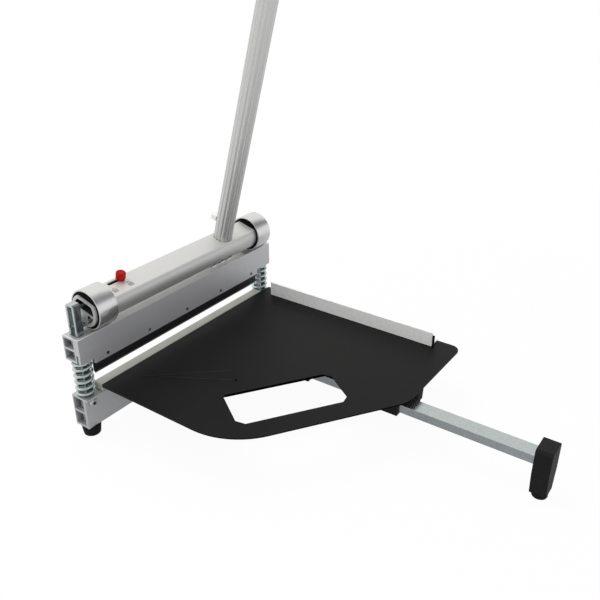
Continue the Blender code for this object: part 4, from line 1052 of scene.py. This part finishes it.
shaftBolts = {
    "count": 3, "firstX": leverHandle["x"], "pitch": 17,  # from the handle towards the lock
    "turn": math.radians(218),
    "headAcross": 7.97, "headHeight": 3.6, "seat": 22.3, "headFace": 0.93, "cornerSlant": math.radians(30),
    "stemRadius": 2.5, "stemEnd": 17.3,
    # a near-black ring under each head, put there as a painted shadow round it
    "washer": (2.6, 5.6, 21.6, 22.6, 0.3),  # its two radii, its foot and top, and its edge
}


def hexBolt(steps=48):
    # a hexagon head with its corners turned off, and a plain stem, along Z
    across, tall, seat, stem, end = (
        shaftBolts[key] for key in ("headAcross", "headHeight", "seat", "stemRadius", "stemEnd"))
    face = across / 2 * shaftBolts["headFace"]
    turns = [2 * math.pi * n / steps for n in range(steps)]
    reaches = [across / 2 * hexagonReach(turn) for turn in turns]
    slanted = [seat + tall - (reach - face) * math.tan(shaftBolts["cornerSlant"]) for reach in reaches]
    return stacked(turns, [[(stem, end)] * steps, [(stem, seat)] * steps, [(reach, seat) for reach in reaches],
                           list(zip(reaches, slanted)), [(face, seat + tall)] * steps])


def shaftBoltRow(name, shape, finish):
    # one bolt or dark ring of painted shadow, turned to its side of the shaft and repeated
    pattern = finishShape(shape, "pattern", Matrix.Rotation(shaftBolts["turn"] - math.pi / 2, 4, "X"))
    mesh = repeatedRow(name, pattern, shaftBolts["count"], (shaftBolts["firstX"], 0, 0),
                       (-shaftBolts["pitch"], 0, 0), finish)
    mesh.transform(leverPlace)
    return addPiece(name, smoothed(mesh), finish, "lever_body")


piece = shaftBoltRow("shaftBoltRow", hexBolt(), "bright")
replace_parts(piece, "shaft_bolt_1", "shaft_bolt_2", "shaft_bolt_3")
# the painted shadow rings under the bolt heads
inner, outer, low, high, edge = shaftBolts["washer"]
washer = turned([(low, inner), (low, outer), (high - edge, outer), (high, outer - edge), (high, inner)], 48, True)
piece = shaftBoltRow("shaftBoltWashers", standUp(washer), "darkScrew")
print("shaft bolts set")


lockSigns = {
    "thickness": 0.06, "faceHeight": 15.6,
    "bodyWide": 8.0, "bodyTall": 6.0,
    "shackleRadius": 2.7, "shackleStroke": 1.3, "shackleRise": 0.5, "shackleRoot": -0.2,
    "liftShare": 0.4, "openGap": 0.6,
    "places": {"lockedSign": (71, -3.1, 0), "openSign": (97, -3.7, 2.6)},  # along, across and the shackle's lift
}


def padlock(name, x, across, lift):
    # a plain padlock seen from in front, with its shackle shut or lifted clear at one side
    shape = bmesh.new()
    up = lockSigns["faceHeight"] + lockSigns["thickness"]
    half = lockSigns["bodyWide"] / 2
    low = across - lockSigns["bodyTall"]
    corners = [(x - half, low), (x + half, low), (x + half, across), (x - half, across)]
    shape.faces.new([shape.verts.new(onShaft(*spot, up)) for spot in corners])
    outer, root = lockSigns["shackleRadius"], lockSigns["shackleRoot"]
    inner = outer - lockSigns["shackleStroke"]
    path = [(-1, 0.0)] + arcPoints(1, math.pi, 0, 10) + [(1, 0.0)]
    raised = lift * lockSigns["liftShare"]
    legs = [root] + [lockSigns["shackleRise"] + raised] * (len(path) - 2)
    legs.append(raised - lockSigns["openGap"] if lift else root)
    pairs = []
    for (side, rise), leg in zip(path, legs):
        pairs.append([shape.verts.new(onShaft(x + side * radius, across + leg + rise * radius, up))
                      for radius in (outer, inner)])
    for first, second in zip(pairs, pairs[1:]):
        shape.faces.new((first[0], first[1], second[1], second[0]))
    bmesh.ops.recalc_face_normals(shape, faces=shape.faces)
    holder = newHolder(name, meshFrom(shape, name))
    film = holder.modifiers.new("ink", "SOLIDIFY")
    film.thickness = lockSigns["thickness"] * mm
    film.offset = 0
    return plainMesh(holder, name)


for name, (x, across, lift) in lockSigns["places"].items():
    piece = addPiece(name, padlock(name, x, across, lift), "print", "lever_body")
print("lock signs printed")


guideLines = {
    "width": 0.9, "height": 0.25, "sunk": 0.1,
    "lines": [((70.8, -29), (154.5, -121.7)), ((84.8, -48.9), (135.6, -137.5))],
}


def raisedLines():
    shape = bmesh.new()
    for start, end in guideLines["lines"]:
        corners = stripCorners(start, end, guideLines["width"])
        low, high = [[shape.verts.new(atBench(*spot, table["top"] + rise)) for spot in corners]
                     for rise in (-guideLines["sunk"], guideLines["height"])]
        shape.faces.new(list(reversed(low)))
        shape.faces.new(high)
        bridge(shape, (low, high))
    bmesh.ops.recalc_face_normals(shape, faces=shape.faces)
    return meshFrom(shape, "mitreLines")


piece = addPiece("mitreLines", raisedLines(), "rubbedLine", "base")
print("mitre lines raised on the table")


camera = {
    "place": (-662.05 * mm, -415.65 * mm, 600.2 * mm),
    "azimuth": math.radians(34.985), "pitch": math.radians(27.03), "roll": math.radians(0.15),
    "lens": 42.466, "sensor": 36,
}


def aimCamera():
    azimuth, pitch, roll = camera["azimuth"], camera["pitch"], camera["roll"]
    ahead = Vector((math.cos(pitch) * math.cos(azimuth), math.cos(pitch) * math.sin(azimuth), -math.sin(pitch)))
    right = Vector((math.sin(azimuth), -math.cos(azimuth), 0))
    up = right.cross(ahead)
    turnedRight = right * math.cos(roll) + up * math.sin(roll)
    turnedUp = up * math.cos(roll) - right * math.sin(roll)
    lens = bpy.data.cameras.new("photoCamera")
    lens.sensor_width = camera["sensor"]
    lens.lens = camera["lens"]
    holder = newHolder("photoCamera", lens)
    turn = Matrix((turnedRight, turnedUp, -ahead)).transposed().to_4x4()
    holder.matrix_world = Matrix.Translation(camera["place"]) @ turn
    bpy.context.scene.camera = holder


studio = {
    "floorRadius": 9.0, "floorTone": 0.88, "floorShine": 0.955, "floorGloss": 0.85,
    "floorFade": (0.45, 1.3),
    "ambient": 0.62,
    # what polished metal sees round the X axis: degrees up from the front, and brightness
    "reflected": ((-180, (0.9, 0.9, 0.9)), (8, (0.98, 0.98, 1.0)), (21, (0.96, 0.96, 0.99)), (31, (0.5, 0.5, 0.52)),
                  (42, (0.19, 0.19, 0.195)), (55, (0.17, 0.17, 0.17)), (67, (0.34, 0.335, 0.325)),
                  (81, (0.72, 0.71, 0.68)), (95, (0.98, 0.97, 0.93)), (180, (0.93, 0.925, 0.9))),
    "floorReflected": (0.36, 0.95, 0.1, 1.0),  # brightness near and far, and where the change runs
    "lamps": {  # place, target, size and power
        "overheadLamp": ((-0.3, 0.9, 1.9), (0, 0.1, 0.1), 1.6, 26),
        "frontLamp": ((-1.5, -1.6, 1.3), (0, 0.1, 0.1), 1.2, 7),
    },
}


def rays(tree, *kinds):
    return [tree.node("ShaderNodeLightPath", None, None, kind) for kind in kinds]


def layFloor():
    # a wide round floor, which turns pure white for the camera a little way from the cutter
    shape = bmesh.new()
    bmesh.ops.create_circle(shape, cap_ends=True, radius=studio["floorRadius"], segments=64)
    mesh = meshFrom(shape, "floor")
    floor = newHolder("floor", mesh)
    tree = Finish("paleFloor")
    tree.nodes.clear()
    tone = studio["floorTone"]
    matt = tree.node("ShaderNodeBsdfDiffuse", None, {"Color": (tone, tone, tone, 1)})
    seen, glossy = rays(tree, "Is Camera Ray", "Is Glossy Ray")
    x, y, z = objectAxes(tree)
    reach = (x * x + y * y).root()
    near, far, start, end = studio["floorReflected"]
    mirrored = reach.between(start, end) * (far - near) + near
    glow = tree.node("ShaderNodeEmission", None, {"Color": (1, 1, 1, 1), "Strength": seen + glossy * mirrored})
    fade = reach.between(*studio["floorFade"])
    share = (fade * (1 - studio["floorShine"]) + studio["floorShine"]) * seen + glossy * studio["floorGloss"]
    mixed = tree.node("ShaderNodeMixShader", None, {0: share, 1: matt, 2: glow})
    tree.node("ShaderNodeOutputMaterial", None, {0: mixed})
    mesh.materials.append(tree.material)


def lightStudio():
    world = bpy.data.worlds.new("studio")
    bpy.context.scene.world = world
    world.use_nodes = True
    tree = Tree(world.node_tree)
    tree.nodes.clear()
    seen, glossy, through = rays(tree, "Is Camera Ray", "Is Glossy Ray", "Is Transmission Ray")
    ray = tree.node("ShaderNodeTexCoord", None, None, "Generated")
    across, rise = [tree.node("ShaderNodeSeparateXYZ", None, {0: ray}, axis) for axis in "YZ"]
    around = rise.angle(across * -1)
    stops = [((turn + 180) / 360, colour) for turn, colour in studio["reflected"]]
    bands = tree.node("ShaderNodeValToRGB", {"stops": stops}, {0: around / (2 * math.pi) + 0.5})
    plain = seen.most(through) * (1 - studio["ambient"]) + studio["ambient"]
    colour = tree.blendColour(glossy, (1, 1, 1, 1), bands)
    back = tree.node("ShaderNodeBackground", None, {"Color": colour, "Strength": glossy + (1 - glossy) * plain})
    tree.node("ShaderNodeOutputWorld", None, {0: back})
    for name, (place, target, size, power) in studio["lamps"].items():
        lamp = bpy.data.lights.new(name, "AREA")
        lamp.size = size
        lamp.energy = power
        holder = newHolder(name, lamp)
        holder.visible_glossy = False  # metal takes its bands from the world alone
        holder.location = place
        holder.rotation_euler = (Vector(target) - Vector(place)).to_track_quat("-Z", "Y").to_euler()
    bpy.context.scene.view_settings.view_transform = "Standard"


aimCamera()
layFloor()
lightStudio()
print("camera, floor and lights placed")

bpy.context.view_layer.update()
